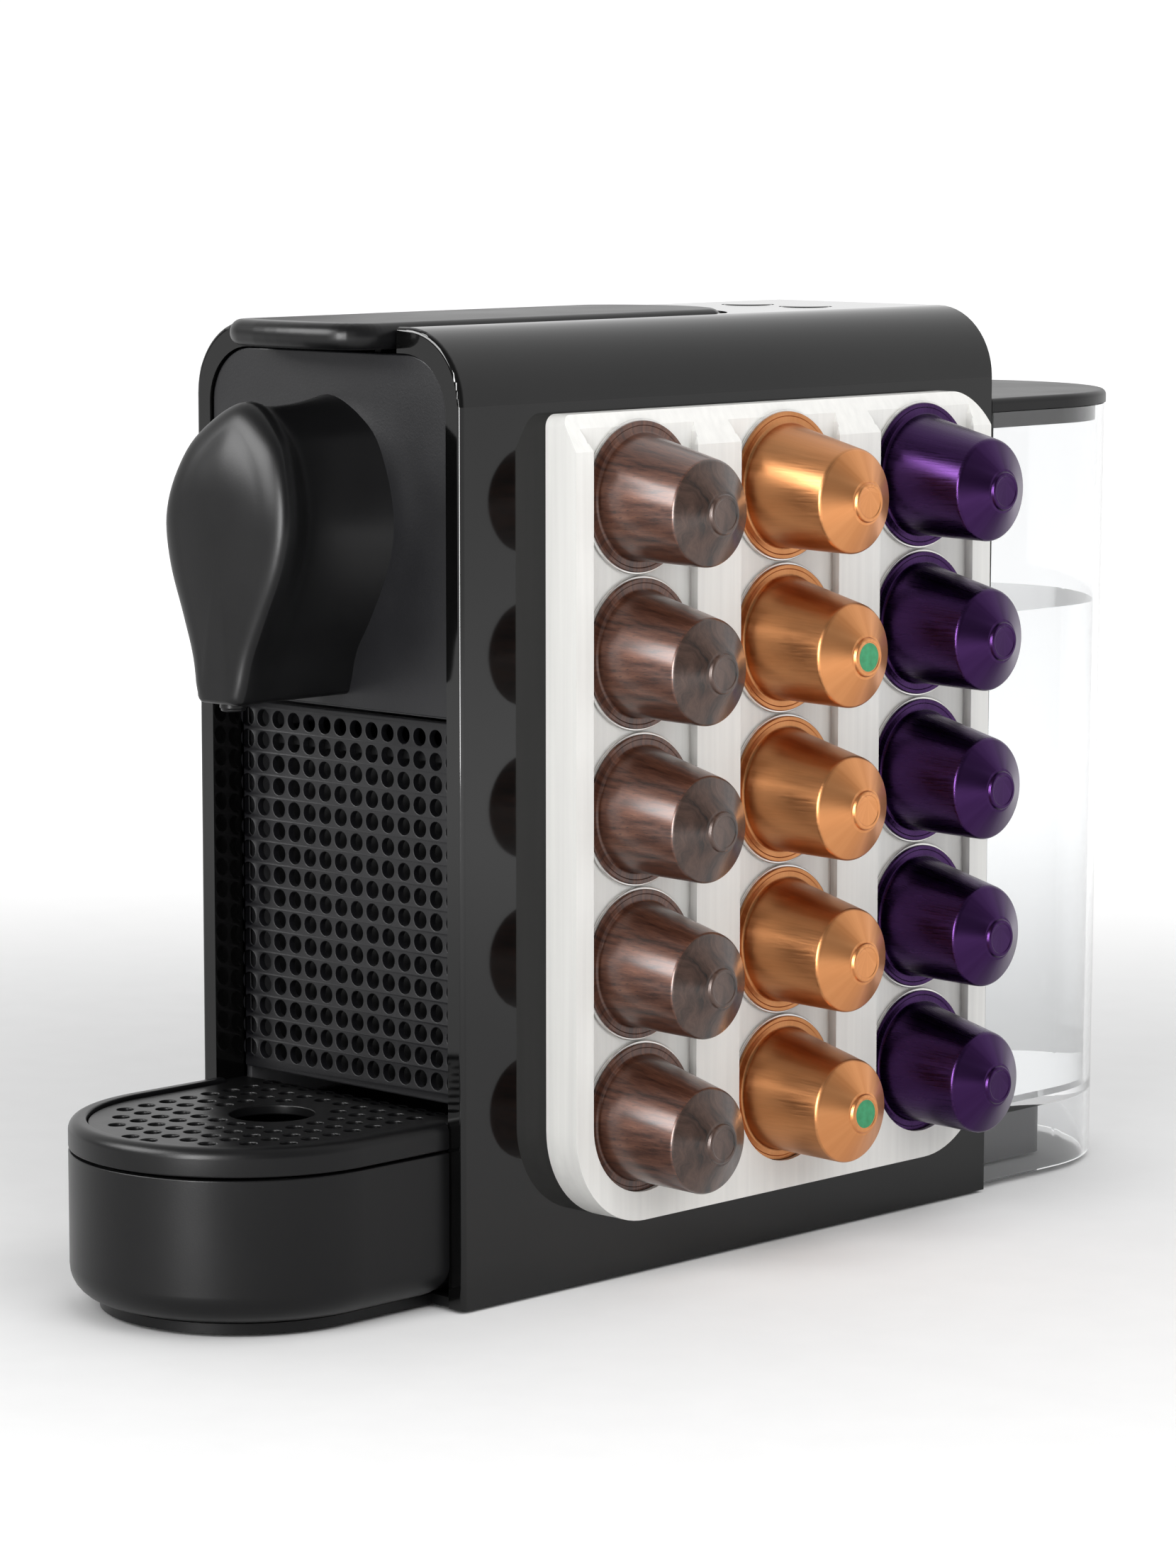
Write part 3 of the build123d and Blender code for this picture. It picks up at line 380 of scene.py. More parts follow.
def circuit_board():
    """Green board with a faint pattern of tracks."""
    made = Finish("board_green", (0.03, 0.16, 0.07), 0.35)
    tracks = made.node(
        "TexBrick",
        {
            "Vector": made.place, "Scale": 260.0, "Mortar Size": 0.03,
            "Color1": (0.02, 0.13, 0.05, 1), "Color2": (0.025, 0.16, 0.07, 1),
            "Mortar": (0.10, 0.30, 0.14, 1),
        },
    )
    made.color(tracks.outputs["Color"])
    made.bump(tracks.outputs["Fac"], 0.03)
    made.roughness(made.spread(made.noise(300), 0.3, 0.45))
    return made.material


def around_axis(made, turn_scale, along_scale):
    """Coordinates that run around the capsule's X axis and slowly along it."""
    parts = made.node("SeparateXYZ", {"Vector": made.place})
    flat = made.node("CombineXYZ", {"Y": parts.outputs["Y"], "Z": parts.outputs["Z"]})
    unit = made.node("VectorMath", {0: flat.outputs["Vector"]}, operation="NORMALIZE")
    wide = made.node(
        "VectorMath", {0: unit.outputs["Vector"], "Scale": turn_scale}, operation="SCALE"
    )
    along = made.node("CombineXYZ", {"X": made.math("MULTIPLY", parts.outputs["X"], along_scale)})
    summed = made.node(
        "VectorMath", {0: wide.outputs["Vector"], 1: along.outputs["Vector"]}, operation="ADD"
    )
    return summed.outputs["Vector"], parts


def brushed_foil(name, color, deep, roughness, side_length, painted_end_reflection):
    """Anodised aluminium, drawn along the capsule's side and plain on its end; the end's colour is
    painted lighter as a painted reflection.
    """
    made = Finish(name, color, roughness, Metallic=1.0)
    place, parts = around_axis(made, 24.0, 90.0)
    on_side = made.math("LESS_THAN", parts.outputs["X"], side_length * MM)
    raw = made.noise(1.0, detail=6, place=place, rough=0.65)
    streaks = made.math("MULTIPLY_ADD", made.math("SUBTRACT", raw, 0.5), on_side, 0.5)
    broad, _ = around_axis(made, 2.2, 30.0)
    shade = made.noise(1.0, detail=3, place=broad)
    tone = made.ramp(shade, ((0.3, deep), (0.7, color)))
    side = made.mix(made.spread(streaks, 0.0, 0.5), tone, [min(1, c * 1.3) for c in color])
    # The end's colour is multiplied up by the gain: a painted reflection on the capsule's end, not
    # the foil's own colour.
    end = made.ramp(
        shade,
        ((0.3, [c * painted_end_reflection for c in deep]), (0.7, [min(1, c * painted_end_reflection) for c in color])),
    )
    made.color(made.mix(on_side, end, side))
    made.roughness(made.spread(streaks, roughness - 0.09, roughness + 0.11))
    made.bump(streaks, 0.05, 0.55)
    made.bump(made.noise(2200, detail=2), 0.006, 0.5)
    return made.material


def walnut_foil(side_length):
    """Wood-grain print on aluminium: grain and pores along the side, swirls on the end."""
    made = Finish("walnut_foil", (0.16, 0.085, 0.06), 0.36, Metallic=0.45, Coat_Weight=0.75,
                  Coat_Roughness=0.24, Coat_IOR=1.5)
    place, parts = around_axis(made, 7.0, 70.0)
    grain = made.noise(1.0, detail=8, place=place, rough=0.72)
    side = made.ramp(
        grain,
        (
            (0.32, (0.011, 0.004, 0.003)),
            (0.44, (0.064, 0.022, 0.012)),
            (0.58, (0.115, 0.043, 0.024)),
            (0.76, (0.185, 0.080, 0.048)),
        ),
    )
    fine, _ = around_axis(made, 42.0, 420.0)
    pores = made.noise(1.0, detail=3, place=fine, rough=0.6)
    dark_pores = made.spread(pores, -2.2, 1.35)
    side = made.mix(made.math("MULTIPLY", dark_pores, 0.75), side, (0.020, 0.011, 0.009))
    bend = made.noise(70, detail=3)
    shift = made.node("CombineXYZ", {"Y": made.math("MULTIPLY", bend, 0.018)})
    bent = made.node(
        "VectorMath", {0: made.place, 1: shift.outputs["Vector"]}, operation="ADD"
    ).outputs["Vector"]
    swirl = made.noise(210, stretch=(0.4, 1.0, 0.30), detail=8, place=bent, rough=0.72)
    end = made.ramp(
        swirl,
        (
            (0.36, (0.006, 0.004, 0.003)),
            (0.45, (0.034, 0.016, 0.010)),
            (0.56, (0.062, 0.031, 0.021)),
            (0.75, (0.105, 0.060, 0.043)),
        ),
    )
    on_end = made.math("GREATER_THAN", parts.outputs["X"], side_length * MM)
    made.color(made.mix(on_end, side, end))
    made.roughness(made.spread(grain, 0.32, 0.48))
    made.bump(grain, 0.05, 0.6)
    made.bump(pores, 0.03, 0.5)
    return made.material


def foil_edge():
    """Bare aluminium of the membrane's edge."""
    made = Finish("foil_edge", (0.80, 0.79, 0.77), 0.34, Metallic=1.0)
    dents = made.noise(420, detail=4)
    made.roughness(made.spread(dents, 0.26, 0.45))
    made.color(made.ramp(dents, ((0.3, (0.70, 0.69, 0.67)), (0.7, (0.86, 0.85, 0.83)))))
    made.bump(dents, 0.06)
    return made.material


def printed_dot():
    """Green printed dot, slightly uneven."""
    made = Finish("printed_dot", (0.015, 0.22, 0.085), 0.38)
    specks = made.noise(700, detail=4)
    made.color(made.ramp(specks, ((0.3, (0.010, 0.18, 0.065)), (0.7, (0.025, 0.26, 0.11)))))
    made.roughness(made.spread(specks, 0.32, 0.46))
    made.bump(specks, 0.01)
    return made.material


# ---------------------------------------------------------------- capsules' measures

KINDS = ("walnut", "copper", "violet")
ROWS = 5
first_low, first_high = span("capsule_walnut_1")
RIM_R = (first_high.z - first_low.z) / 2
CUP_START = 1.3  # lengths run along the capsule from the back of its rim
CUP_LENGTH = 23.4
NUB_BASE = 27.55
CAPSULE_LENGTH = 28.4
NUB_FACE = CAPSULE_LENGTH - 0.15
CUP_DROP = 0.128  # how far the cup hangs down per millimetre away from the rim
CUP_R_RIM = 15.2
CUP_R_END = 12.8
NUB_R = 4.75
DOT_R = 3.5
DOTTED_ROWS = (2, 5)
ROW_TURN = 73  # degrees that the grain turns from row to row and from column to column
COLUMN_TURN = 29

MATERIALS = {
    "gloss_black": gloss_black(),
    "satin_black": moulded("satin_black", (0.004, 0.004, 0.0043), 0.34, grain=2400, depth=0.012,
                           Specular_IOR_Level=0.22),
    "soft_black": moulded("soft_black", (0.0045, 0.0045, 0.0058), 0.44, grain=1900, depth=0.03,
                          Specular_IOR_Level=0.33),
    "foot_rubber": moulded("foot_rubber", (0.018, 0.018, 0.018), 0.75, grain=1500, depth=0.06),
    "grey_plastic": moulded("grey_plastic", (0.10, 0.10, 0.105), 0.5, depth=0.03),
    "steel": metal("steel", (0.62, 0.62, 0.63), 0.3),
    "cast_aluminium": cast_metal(),
    "hose_silicone": moulded("hose_silicone", (0.66, 0.66, 0.63), 0.4, Subsurface_Weight=0.2),
    "board_green": circuit_board(),
    "dock_grey": moulded("dock_grey", (0.045, 0.045, 0.05), 0.45, depth=0.03),
    "rack_white": rack_white(),
    "tank_clear": clear_plastic(),
    "water": clear_water(),
    "walnut_foil": walnut_foil(CUP_LENGTH - 0.2),
    # The last argument of each brushed foil paints the capsule's end lighter as a painted
    # reflection.
    "copper_foil": brushed_foil("copper_foil", (0.55, 0.25, 0.104), (0.43, 0.174, 0.064), 0.36,
                                CUP_LENGTH, painted_end_reflection=1.35),
    "violet_foil": brushed_foil("violet_foil", (0.052, 0.021, 0.086), (0.0285, 0.0098, 0.048),
                                0.28, CUP_LENGTH, painted_end_reflection=1.1),
}
FOIL_EDGE = foil_edge()
DOT_GREEN = printed_dot()

for row in frame["record"]["subparts"]:
    slots = frame["nodes"][row["node"]].data.materials
    slots.clear()
    slots.append(MATERIALS[row["material_slot"]])

SOFT_EDGES_MM = {
    "capsule_rack": 0.4, "shell_cover": 0.5, "front_panel": 0.3, "rear_panel": 0.4,
    "base_plate": 0.3, "tank_dock": 0.5, "feed_deck": 0.2, "bin_tub": 0.3,
}
for node, width in SOFT_EDGES_MM.items():
    edges = frame["nodes"][node].modifiers.new("soft_edges", "BEVEL")
    edges.width = width * MM
    edges.segments = 3
    edges.limit_method = "ANGLE"
    edges.angle_limit = math.radians(25)

# ---------------------------------------------------------------- capsules


def capsule_profile():
    """Half section of a capsule as (along, radius, material): foil first, then the body."""
    foil = rounded(
        (
            (0.35, 0, 0),
            (0.35, RIM_R - 2.2, 0.15),
            (0.0, RIM_R - 1.7, 0.2),
            (0.0, RIM_R, 0.25),
            (0.65, RIM_R, 0.25),
            (0.65, RIM_R - 0.5, 0),
        ),
        closed=False,
        steps=4,
    )
    body = rounded(
        (
            (0.70, RIM_R - 0.5, 0),
            (CUP_START, RIM_R - 0.5, 0.3),
            (CUP_START, RIM_R - 1.5, 0.2),
            (1.12, RIM_R - 1.75, 0.1),
            (1.12, CUP_R_RIM, 0.75),
            (CUP_LENGTH, CUP_R_END, 1.5),
            (NUB_BASE - 0.1, NUB_R + 0.75, 0.5),
            (NUB_BASE, NUB_R + 0.15, 0.15),
            (CAPSULE_LENGTH, NUB_R - 0.1, 0.45),
            (CAPSULE_LENGTH, NUB_R - 0.9, 0.2),
            (NUB_FACE, NUB_R - 1.1, 0.1),
            (NUB_FACE, 0, 0),
        ),
        closed=False,
        steps=5,
    )
    return [(*point, 1) for point in foil] + [(*point, 0) for point in body]


def build_capsules():
    """Fifteen capsules whose cups hang down a little; each turns its grain by its own angle."""
    points = capsule_profile()
    for column, kind in enumerate(KINDS):
        foil = MATERIALS[f"{kind}_foil"]
        for row in range(1, ROWS + 1):
            node = f"capsule_{kind}_{row}"
            low, high = span(node)
            profile = list(points)
            if kind == "copper" and row in DOTTED_ROWS:
                profile[-1:] = [(NUB_FACE, DOT_R, 2), (NUB_FACE, 0, 2)]
            mesh = to_mesh(lathe(profile), f"capsule_{kind}_mesh")
            turn = math.radians(ROW_TURN * row + COLUMN_TURN * column)
            mesh.transform(Matrix.Rotation(turn, 4, "X"))
            for vertex in mesh.vertices:
                out = min(vertex.co.x, CUP_LENGTH) - CUP_START
                vertex.co.z -= CUP_DROP * max(out, 0)
            middle = (low + high) / 2
            finish_piece(
                f"{kind}_capsule_{row}", mesh, f"pod_{kind}_{row}",
                (foil, FOIL_EDGE, DOT_GREEN), (node,), (low.x, middle.y, middle.z),
                angle=math.radians(40),
            )


build_capsules()

# ---------------------------------------------------------------- spout hood

HOOD_FOOT_Z = 144.5
HOOD_FOOT_ROUND = 2.0
HOOD_SIDE_STEPS = 40
HOOD_BEND_Z = 185.0  # the crown bends back above this height
HOOD_PUPIL_Z = 182.0  # the face's rings shrink towards this height

# Half widths and heights of the hood's outline from the crown down to the foot, at the front
# panel, at the waist, at the widest part of the head and where its face turns flat.
HOOD_BASE = ((0, 215.7), (14.0, 208.9), (19.9, 199.1), (22.6, 186.8), (20.7, 175.8),
             (14.8, 163.7), (9.4, 154.5), (7.2, HOOD_FOOT_Z))
HOOD_WAIST = ((0, 213.6), (9.2, 207.5), (14.0, 198.2), (16.2, 187.0), (14.9, 176.2),
              (11.4, 164.2), (8.0, 154.5), (6.8, HOOD_FOOT_Z))
HOOD_FLARE = ((0, 215.0), (12.8, 207.8), (18.6, 198.6), (21.0, 187.6), (19.0, 176.4),
              (13.8, 164.4), (9.8, 154.5), (7.8, HOOD_FOOT_Z))
HOOD_FACE = ((0, 208.6), (7.6, 203.2), (12.2, 196.0), (14.4, 187.4), (12.8, 177.6),
             (8.6, 165.6), (5.4, 155.0), (4.4, HOOD_FOOT_Z))

# Place along Y at the foot, lean in degrees and bend of the crown for the same outlines.
BASE_Y = 0.8
WAIST_Y, WAIST_LEAN = -21.0, 3.0
FLARE_Y, FLARE_LEAN, FLARE_BEND = -33.4, 2.9, 0.0058
FACE_LEAN, FACE_BEND = 2.6, 0.0046
FACE_DOME = 0.5


def curve_through(points, steps):
    """Points on a smooth curve through the given ones, evenly split between them."""
    padded = [points[0], *points, points[-1]]
    found = []
    for start in range(len(points) - 1):
        a, b, c, d = (Vector(p) for p in padded[start:start + 4])
        for step in range(steps):
            t = step / steps
            found.append(
                0.5 * (2 * b + (c - a) * t + (2 * a - 5 * b + 4 * c - d) * t**2
                       + (3 * b - a - 3 * c + d) * t**3)
            )
    return found + [Vector(points[-1])]


def hood_back(z, lean, bend):
    """How far the hood lies back at a height, from its lean and its bent crown."""
    return (z - HOOD_FOOT_Z) * math.tan(math.radians(lean)) + bend * max(0, z - HOOD_BEND_Z)**2


def hood_ring(outline, foot_y, lean, bend=0.0, foot_rise=0.0):
    """Closed ring of the hood: up one side, over the crown, down the other, along the foot."""
    half_foot = outline[-1][0]
    side = [Vector(p) for p in outline[:-1]] + [Vector((half_foot, HOOD_FOOT_Z))]
    mirrored = [Vector((-p.x, p.y)) for p in reversed(side[1:])]
    whole = curve_through(mirrored + side, 6)
    trimmed = [p for p in whole if p.y > HOOD_FOOT_Z + HOOD_FOOT_ROUND + 2.0]
    while len(trimmed) > 2 * HOOD_SIDE_STEPS + 1:
        trimmed.pop(0)
        trimmed.pop(-1)
    foot_z = HOOD_FOOT_Z + foot_rise
    right = arc((half_foot - HOOD_FOOT_ROUND, foot_z + HOOD_FOOT_ROUND), HOOD_FOOT_ROUND,
                0, -90, 4)
    left = [(-x, z) for x, z in reversed(right)]
    flat = [(p.x, p.y) for p in trimmed] + right + left
    return [(x, foot_y + hood_back(z, lean, bend), z) for x, z in flat]


def between(first, second, share):
    """Outline part of the way from one outline to another."""
    return [tuple(a + (b - a) * share for a, b in zip(p, q)) for p, q in zip(first, second)]


def toward(first, second, share):
    """Value part of the way from one value to another."""
    return first + (second - first) * share


def build_hood():
    """Trumpet from the front panel to the waist, then the teardrop head with its domed face."""
    low, _ = span("spout_hood")
    face_y = low.y + FACE_DOME
    rings = []
    for step in range(13):
        share = step / 12
        outline = between(HOOD_BASE, HOOD_WAIST, 1 - (1 - share) ** 2)
        rings.append(hood_ring(outline, toward(BASE_Y, WAIST_Y, share), WAIST_LEAN * share))
    for step in range(1, 9):
        share = step / 8
        ease = smooth(share)
        rings.append(hood_ring(between(HOOD_WAIST, HOOD_FLARE, ease),
                               toward(WAIST_Y, FLARE_Y, share),
                               toward(WAIST_LEAN, FLARE_LEAN, share),
                               FLARE_BEND * ease))
    for step in range(1, 11):
        turn = math.radians(90 * step / 10)
        rise = math.sin(turn)
        rings.append(hood_ring(between(HOOD_FLARE, HOOD_FACE, 1 - math.cos(turn)),
                               toward(FLARE_Y, face_y, rise),
                               toward(FLARE_LEAN, FACE_LEAN, rise),
                               toward(FLARE_BEND, FACE_BEND, rise),
                               foot_rise=1.6 * (1 - math.cos(turn))))
    edge = rings[-1]
    for step in range(1, 14):
        size = 1 - step / 14
        ring = []
        for x, _, z in edge:
            height = HOOD_PUPIL_Z + (z - HOOD_PUPIL_Z) * size
            flat_y = face_y + hood_back(height, FACE_LEAN, FACE_BEND * size**2)
            ring.append((x * size, max(flat_y - FACE_DOME * (1 - size**2), low.y), height))
        rings.append(ring)
    mesh = to_mesh(stack(rings), "hood_skin")
    finish_piece("hood_skin", mesh, "machine", (MATERIALS["satin_black"],),
                 ("spout_hood",), angle=math.radians(60))


build_hood()

# ---------------------------------------------------------------- nozzle under the hood


NOZZLE_R = 3.2
NOZZLE_TIP_R = 2.9
NOZZLE_BORE_R = 1.7
NOZZLE_LENGTH = 8.0
NOZZLE_BORE_DEPTH = 6.0


def build_nozzle():
    """Short stepped tube that comes out of the hood's foot."""
    low, _ = span("spout_nozzle")
    outside = rounded(
        (
            (0.0, NOZZLE_BORE_R, 0),
            (0.0, NOZZLE_TIP_R, 0.3),
            (0.7, NOZZLE_TIP_R, 0.2),
            (0.7, NOZZLE_R, 0.2),
            (NOZZLE_LENGTH, NOZZLE_R, 0),
        ),
        closed=False,
        steps=3,
    )
    points = [(NOZZLE_BORE_DEPTH, 0, 0), (NOZZLE_BORE_DEPTH, NOZZLE_BORE_R, 0)]
    points += [(along, radius, 0) for along, radius in outside] + [(NOZZLE_LENGTH, 0, 0)]
    shape = lathe(points, 40)
    middle_y = low.y + NOZZLE_R
    upright = Matrix.Translation((0, middle_y, low.z)) @ Matrix.Rotation(-math.pi / 2, 4, "Y")
    mesh = to_mesh(shape, "nozzle_tip", upright)
    finish_piece("nozzle_tip", mesh, "machine", (MATERIALS["satin_black"],),
                 ("spout_nozzle",))


build_nozzle()

# ---------------------------------------------------------------- lever

HINGE_Y = 102.0
HINGE_Z = 227.5
BARREL_R = 4.2
PIN_HOLE_R = 2.15
EAR_INNER = 7.3
EAR_OUTER = 11.0
NOTCH_R = 4.0
SLAB_BOTTOM = 227.0
SLAB_BEVEL = 2.9
TAIL_SIDE_Y = 112.5  # where the straight sides end and the tail's arc begins
NOSE_CROWN = 2.4
NOSE_CORNER = 7.5
DISH_START = 7.0  # behind the nose
DISH_END = 62.0
DISH_RISE = 9.0
DISH_FALL = 42.0
DISH_DEPTH = 1.9
DISH_HALF = 21.5
RIB_X = 12.0
RIB_FRONT_Y = 6.0
RIB_DEPTH = 2.5


def cut(shape, tool):
    """First mesh in millimetres with the second one taken away."""
    body, knife = bpy.data.objects.new("body", shape), bpy.data.objects.new("knife", tool)
    bpy.context.scene.collection.objects.link(body)
    bpy.context.scene.collection.objects.link(knife)
    step = body.modifiers.new("cut", "BOOLEAN")
    step.solver = "EXACT"
    step.object = knife
    graph = bpy.context.evaluated_depsgraph_get()
    result = bpy.data.meshes.new_from_object(body.evaluated_get(graph))
    bpy.data.objects.remove(body)
    bpy.data.objects.remove(knife)
    return result


def box_between(shape, low, high):
    """Add a box to a bmesh."""
    made = bmesh.ops.create_cube(shape, size=1.0)["verts"]
    for vert in made:
        for axis in range(3):
            vert.co[axis] = low[axis] if vert.co[axis] < 0 else high[axis]


def lever_dish(x, y, nose_y):
    """Depth of the shallow finger dish behind the lever's nose."""
    back = y - nose_y
    if back < DISH_START or back > DISH_END:
        return 0.0
    rise = smooth(min(1.0, (back - DISH_START) / DISH_RISE))
    fall = smooth(min(1.0, (DISH_END - back) / DISH_FALL))
    return DISH_DEPTH * rise * fall * max(0.0, 1 - (abs(x) / DISH_HALF) ** 4)


def build_lever():
    """Long slab with bullnose edges, a finger dish at the nose and a rounded tail."""
    low, high = span("lever")
    half = high.x - SLAB_BEVEL
    nose = low.y + SLAB_BEVEL
    tail = high.y - SLAB_BEVEL
    tail_side = TAIL_SIDE_Y - SLAB_BEVEL / 2
    tail_r = (half**2 + (tail - tail_side)**2) / (2 * (tail - tail_side))
    tail_turn = math.degrees(math.asin(half / tail_r))
    nose_r = (half**2 + NOSE_CROWN**2) / (2 * NOSE_CROWN)
    nose_turn = math.degrees(math.asin(half / nose_r))
    front = arc((0, nose + nose_r), nose_r, 270 - nose_turn, 270 + nose_turn, 10)
    back = arc((0, tail - tail_r), tail_r, 90 - tail_turn, 90 + tail_turn, 24)
    corners = [(*front[0], NOSE_CORNER)] + [(*point, 0) for point in front[3:-3]]
    corners += [(*front[-1], NOSE_CORNER)] + [(*point, 0) for point in back]
    outline = rounded(corners, steps=8)
    shape = plate([outline], high.z - SLAB_BOTTOM, SLAB_BEVEL, resolution=6)
    slices = [((0, low.y + 4 + 1.6 * y, 0), (0, 1, 0)) for y in range(38)]
    slices += [((x, 0, 0), (1, 0, 0)) for x in range(-20, 21, 2)]
    for place, normal in slices:
        geometry = shape.verts[:] + shape.edges[:] + shape.faces[:]
        bmesh.ops.bisect_plane(shape, geom=geometry, plane_co=place, plane_no=normal)
    for vert in shape.verts:
        if vert.co.z > 1.2:
            vert.co.z -= lever_dish(vert.co.x, vert.co.y, low.y)
    slab = to_mesh(shape, "lever_slab", Matrix.Translation((0, 0, (high.z + SLAB_BOTTOM) / 2)))
    knives = bmesh.new()
    notch_front = HINGE_Y - NOTCH_R
    for side in (-1, 1):
        near, far = sorted((side * EAR_INNER, side * EAR_OUTER))
        box_between(knives, (near, notch_front, SLAB_BOTTOM - 7),
                    (far, HINGE_Y + NOTCH_R, HINGE_Z + NOTCH_R))
    slab = cut(slab, to_mesh(knives, "notches"))
    whole = bmesh.new()
    whole.from_mesh(slab)
    for x in (-RIB_X, RIB_X):
        box_between(whole, (x - 1, RIB_FRONT_Y, SLAB_BOTTOM - RIB_DEPTH),
                    (x + 1, notch_front, SLAB_BOTTOM + 1))
    barrel = [(-EAR_INNER, PIN_HOLE_R, 0), (-EAR_INNER, BARREL_R, 0), (EAR_INNER, BARREL_R, 0),
              (EAR_INNER, PIN_HOLE_R, 0), (-EAR_INNER, PIN_HOLE_R, 0)]
    tube = to_mesh(lathe(barrel, 40), "barrel", Matrix.Translation((0, HINGE_Y, HINGE_Z)))
    whole.from_mesh(tube)
    mesh = to_mesh(whole, "lever_whole")
    finish_piece("lever_slab", mesh, "lever_arm", (MATERIALS["satin_black"],),
                 ("lever",), angle=math.radians(45))


build_lever()

# ---------------------------------------------------------------- perforated bin front


BIN_COLUMNS = 15
BIN_ROWS = 16
BIN_PITCH = 5.5
BIN_HOLE_R = 2.1
BIN_MIDDLE_Z = 93.65


def build_bin_front():
    """Thin front with 240 round-edged holes."""
    low, high = span("bin_front")
    bevel = 0.3
    outline = rounded(
        ((low.x + bevel, low.z + bevel, 0.5), (high.x - bevel, low.z + bevel, 0.5),
         (high.x - bevel, high.z - bevel, 0.5), (low.x + bevel, high.z - bevel, 0.5)),
        steps=2,
    )
    holes = []
    for column in range(BIN_COLUMNS):
        x = (column - (BIN_COLUMNS - 1) / 2) * BIN_PITCH
        for row in range(BIN_ROWS):
            z = BIN_MIDDLE_Z + (row - (BIN_ROWS - 1) / 2) * BIN_PITCH
            holes.append(circle((x, z), BIN_HOLE_R + bevel, 20))
    shape = plate([outline, *holes], high.y - low.y, bevel, resolution=1)
    place = axes((0, (low.y + high.y) / 2, 0), (1, 0, 0), (0, 0, 1))
    mesh = to_mesh(shape, "bin_face", place)
    finish_piece("bin_face", mesh, "capsule_bin", (MATERIALS["soft_black"],),
                 ("bin_front",))


build_bin_front()

# ---------------------------------------------------------------- drip tray and grille

TRAY_R = 41.6
TRAY_CENTRE_Y = -27.9
TRAY_BACK_Y = -0.4
TRAY_TAIL_HALF = 39.9
TRAY_BOTTOM_ROUND = 7.5
TRAY_WALL = 2.2
TRAY_INNER_ROUND = 5.0


def tray_outline(inset, tail_y):
    """D-shaped outline drawn smaller by inset, with a tail that runs back into the machine."""
    radius, tail = TRAY_R - inset, TRAY_TAIL_HALF - inset
    step_y, end_y = TRAY_BACK_Y - inset, tail_y - inset
    points = arc((0, TRAY_CENTRE_Y), radius, 180, 360, 40)
    points += [(radius, step_y), (tail, step_y), (tail, end_y)]
    points += [(-tail, end_y), (-tail, step_y), (-radius, step_y)]
    return points


def build_tray():
    """Open tray with a rounded bottom edge, a round lip and a tail that runs into the body."""
    low, high = span("tray_body")
    low_round, inner_round = TRAY_BOTTOM_ROUND, TRAY_INNER_ROUND
    floor = low.z + TRAY_WALL
    sections = [(low_round + 2.0, low.z)]
    sections += arc((low_round, low.z + low_round), low_round, 270, 180, 8)
    sections += arc((0.3, high.z - 0.3), 0.3, 180, 90, 3)
    sections += arc((TRAY_WALL - 0.4, high.z - 0.4), 0.4, 90, 0, 3)
    sections += arc((TRAY_WALL + inner_round, floor + inner_round), inner_round, 180, 270, 6)
    rings = [[(x, y, z) for x, y in tray_outline(inset, high.y)] for inset, z in sections]
    mesh = to_mesh(stack(rings), "tray_bowl")
    finish_piece("tray_bowl", mesh, "drip_tray", (MATERIALS["satin_black"],),
                 ("tray_body",))


GRILLE_RIM = 4.4
GRILLE_RIM_ROUND = 2.6
GRILLE_TOP = 45.0
GRILLE_THICK = 2.4
GRILLE_TAIL_HALF = 40.4
GRILLE_HOLE_R = 2.05
GRILLE_PITCH_X = 6.4
GRILLE_PITCH_Y = 6.8
DRAIN_Y = -18.8
DRAIN_R = 10.3


def build_grille_rim():
    """Raised D-shaped rim, open at the machine's side."""
    low, high = span("drip_grille")
    sections = [(GRILLE_RIM, low.z), (0.5, low.z), (0.15, low.z + 0.15), (0.0, low.z + 0.5)]
    sections += arc((GRILLE_RIM_ROUND, high.z - GRILLE_RIM_ROUND), GRILLE_RIM_ROUND, 180, 90, 8)
    sections += arc((GRILLE_RIM - 0.6, high.z - 0.6), 0.6, 90, 0, 4)
    shape = bmesh.new()
    strips = []
    for inset, z in sections:
        radius = TRAY_R - inset
        path = [(radius, TRAY_BACK_Y)] + arc((0, TRAY_CENTRE_Y), radius, 360, 180, 64)
        path += [(-radius, TRAY_BACK_Y)]
        strips.append([shape.verts.new((x, y, z)) for x, y in path])
    for first, second in zip(strips, strips[1:] + strips[:1]):
        for k in range(len(first) - 1):
            shape.faces.new((first[k], first[k + 1], second[k + 1], second[k]))
    shape.faces.new([strip[0] for strip in strips])
    shape.faces.new([strip[-1] for strip in reversed(strips)])
    bmesh.ops.recalc_face_normals(shape, faces=shape.faces)
    mesh = to_mesh(shape, "grille_rim")
    finish_piece("grille_rim", mesh, "grille", (MATERIALS["satin_black"],),
                 ("drip_grille",), angle=math.radians(50))


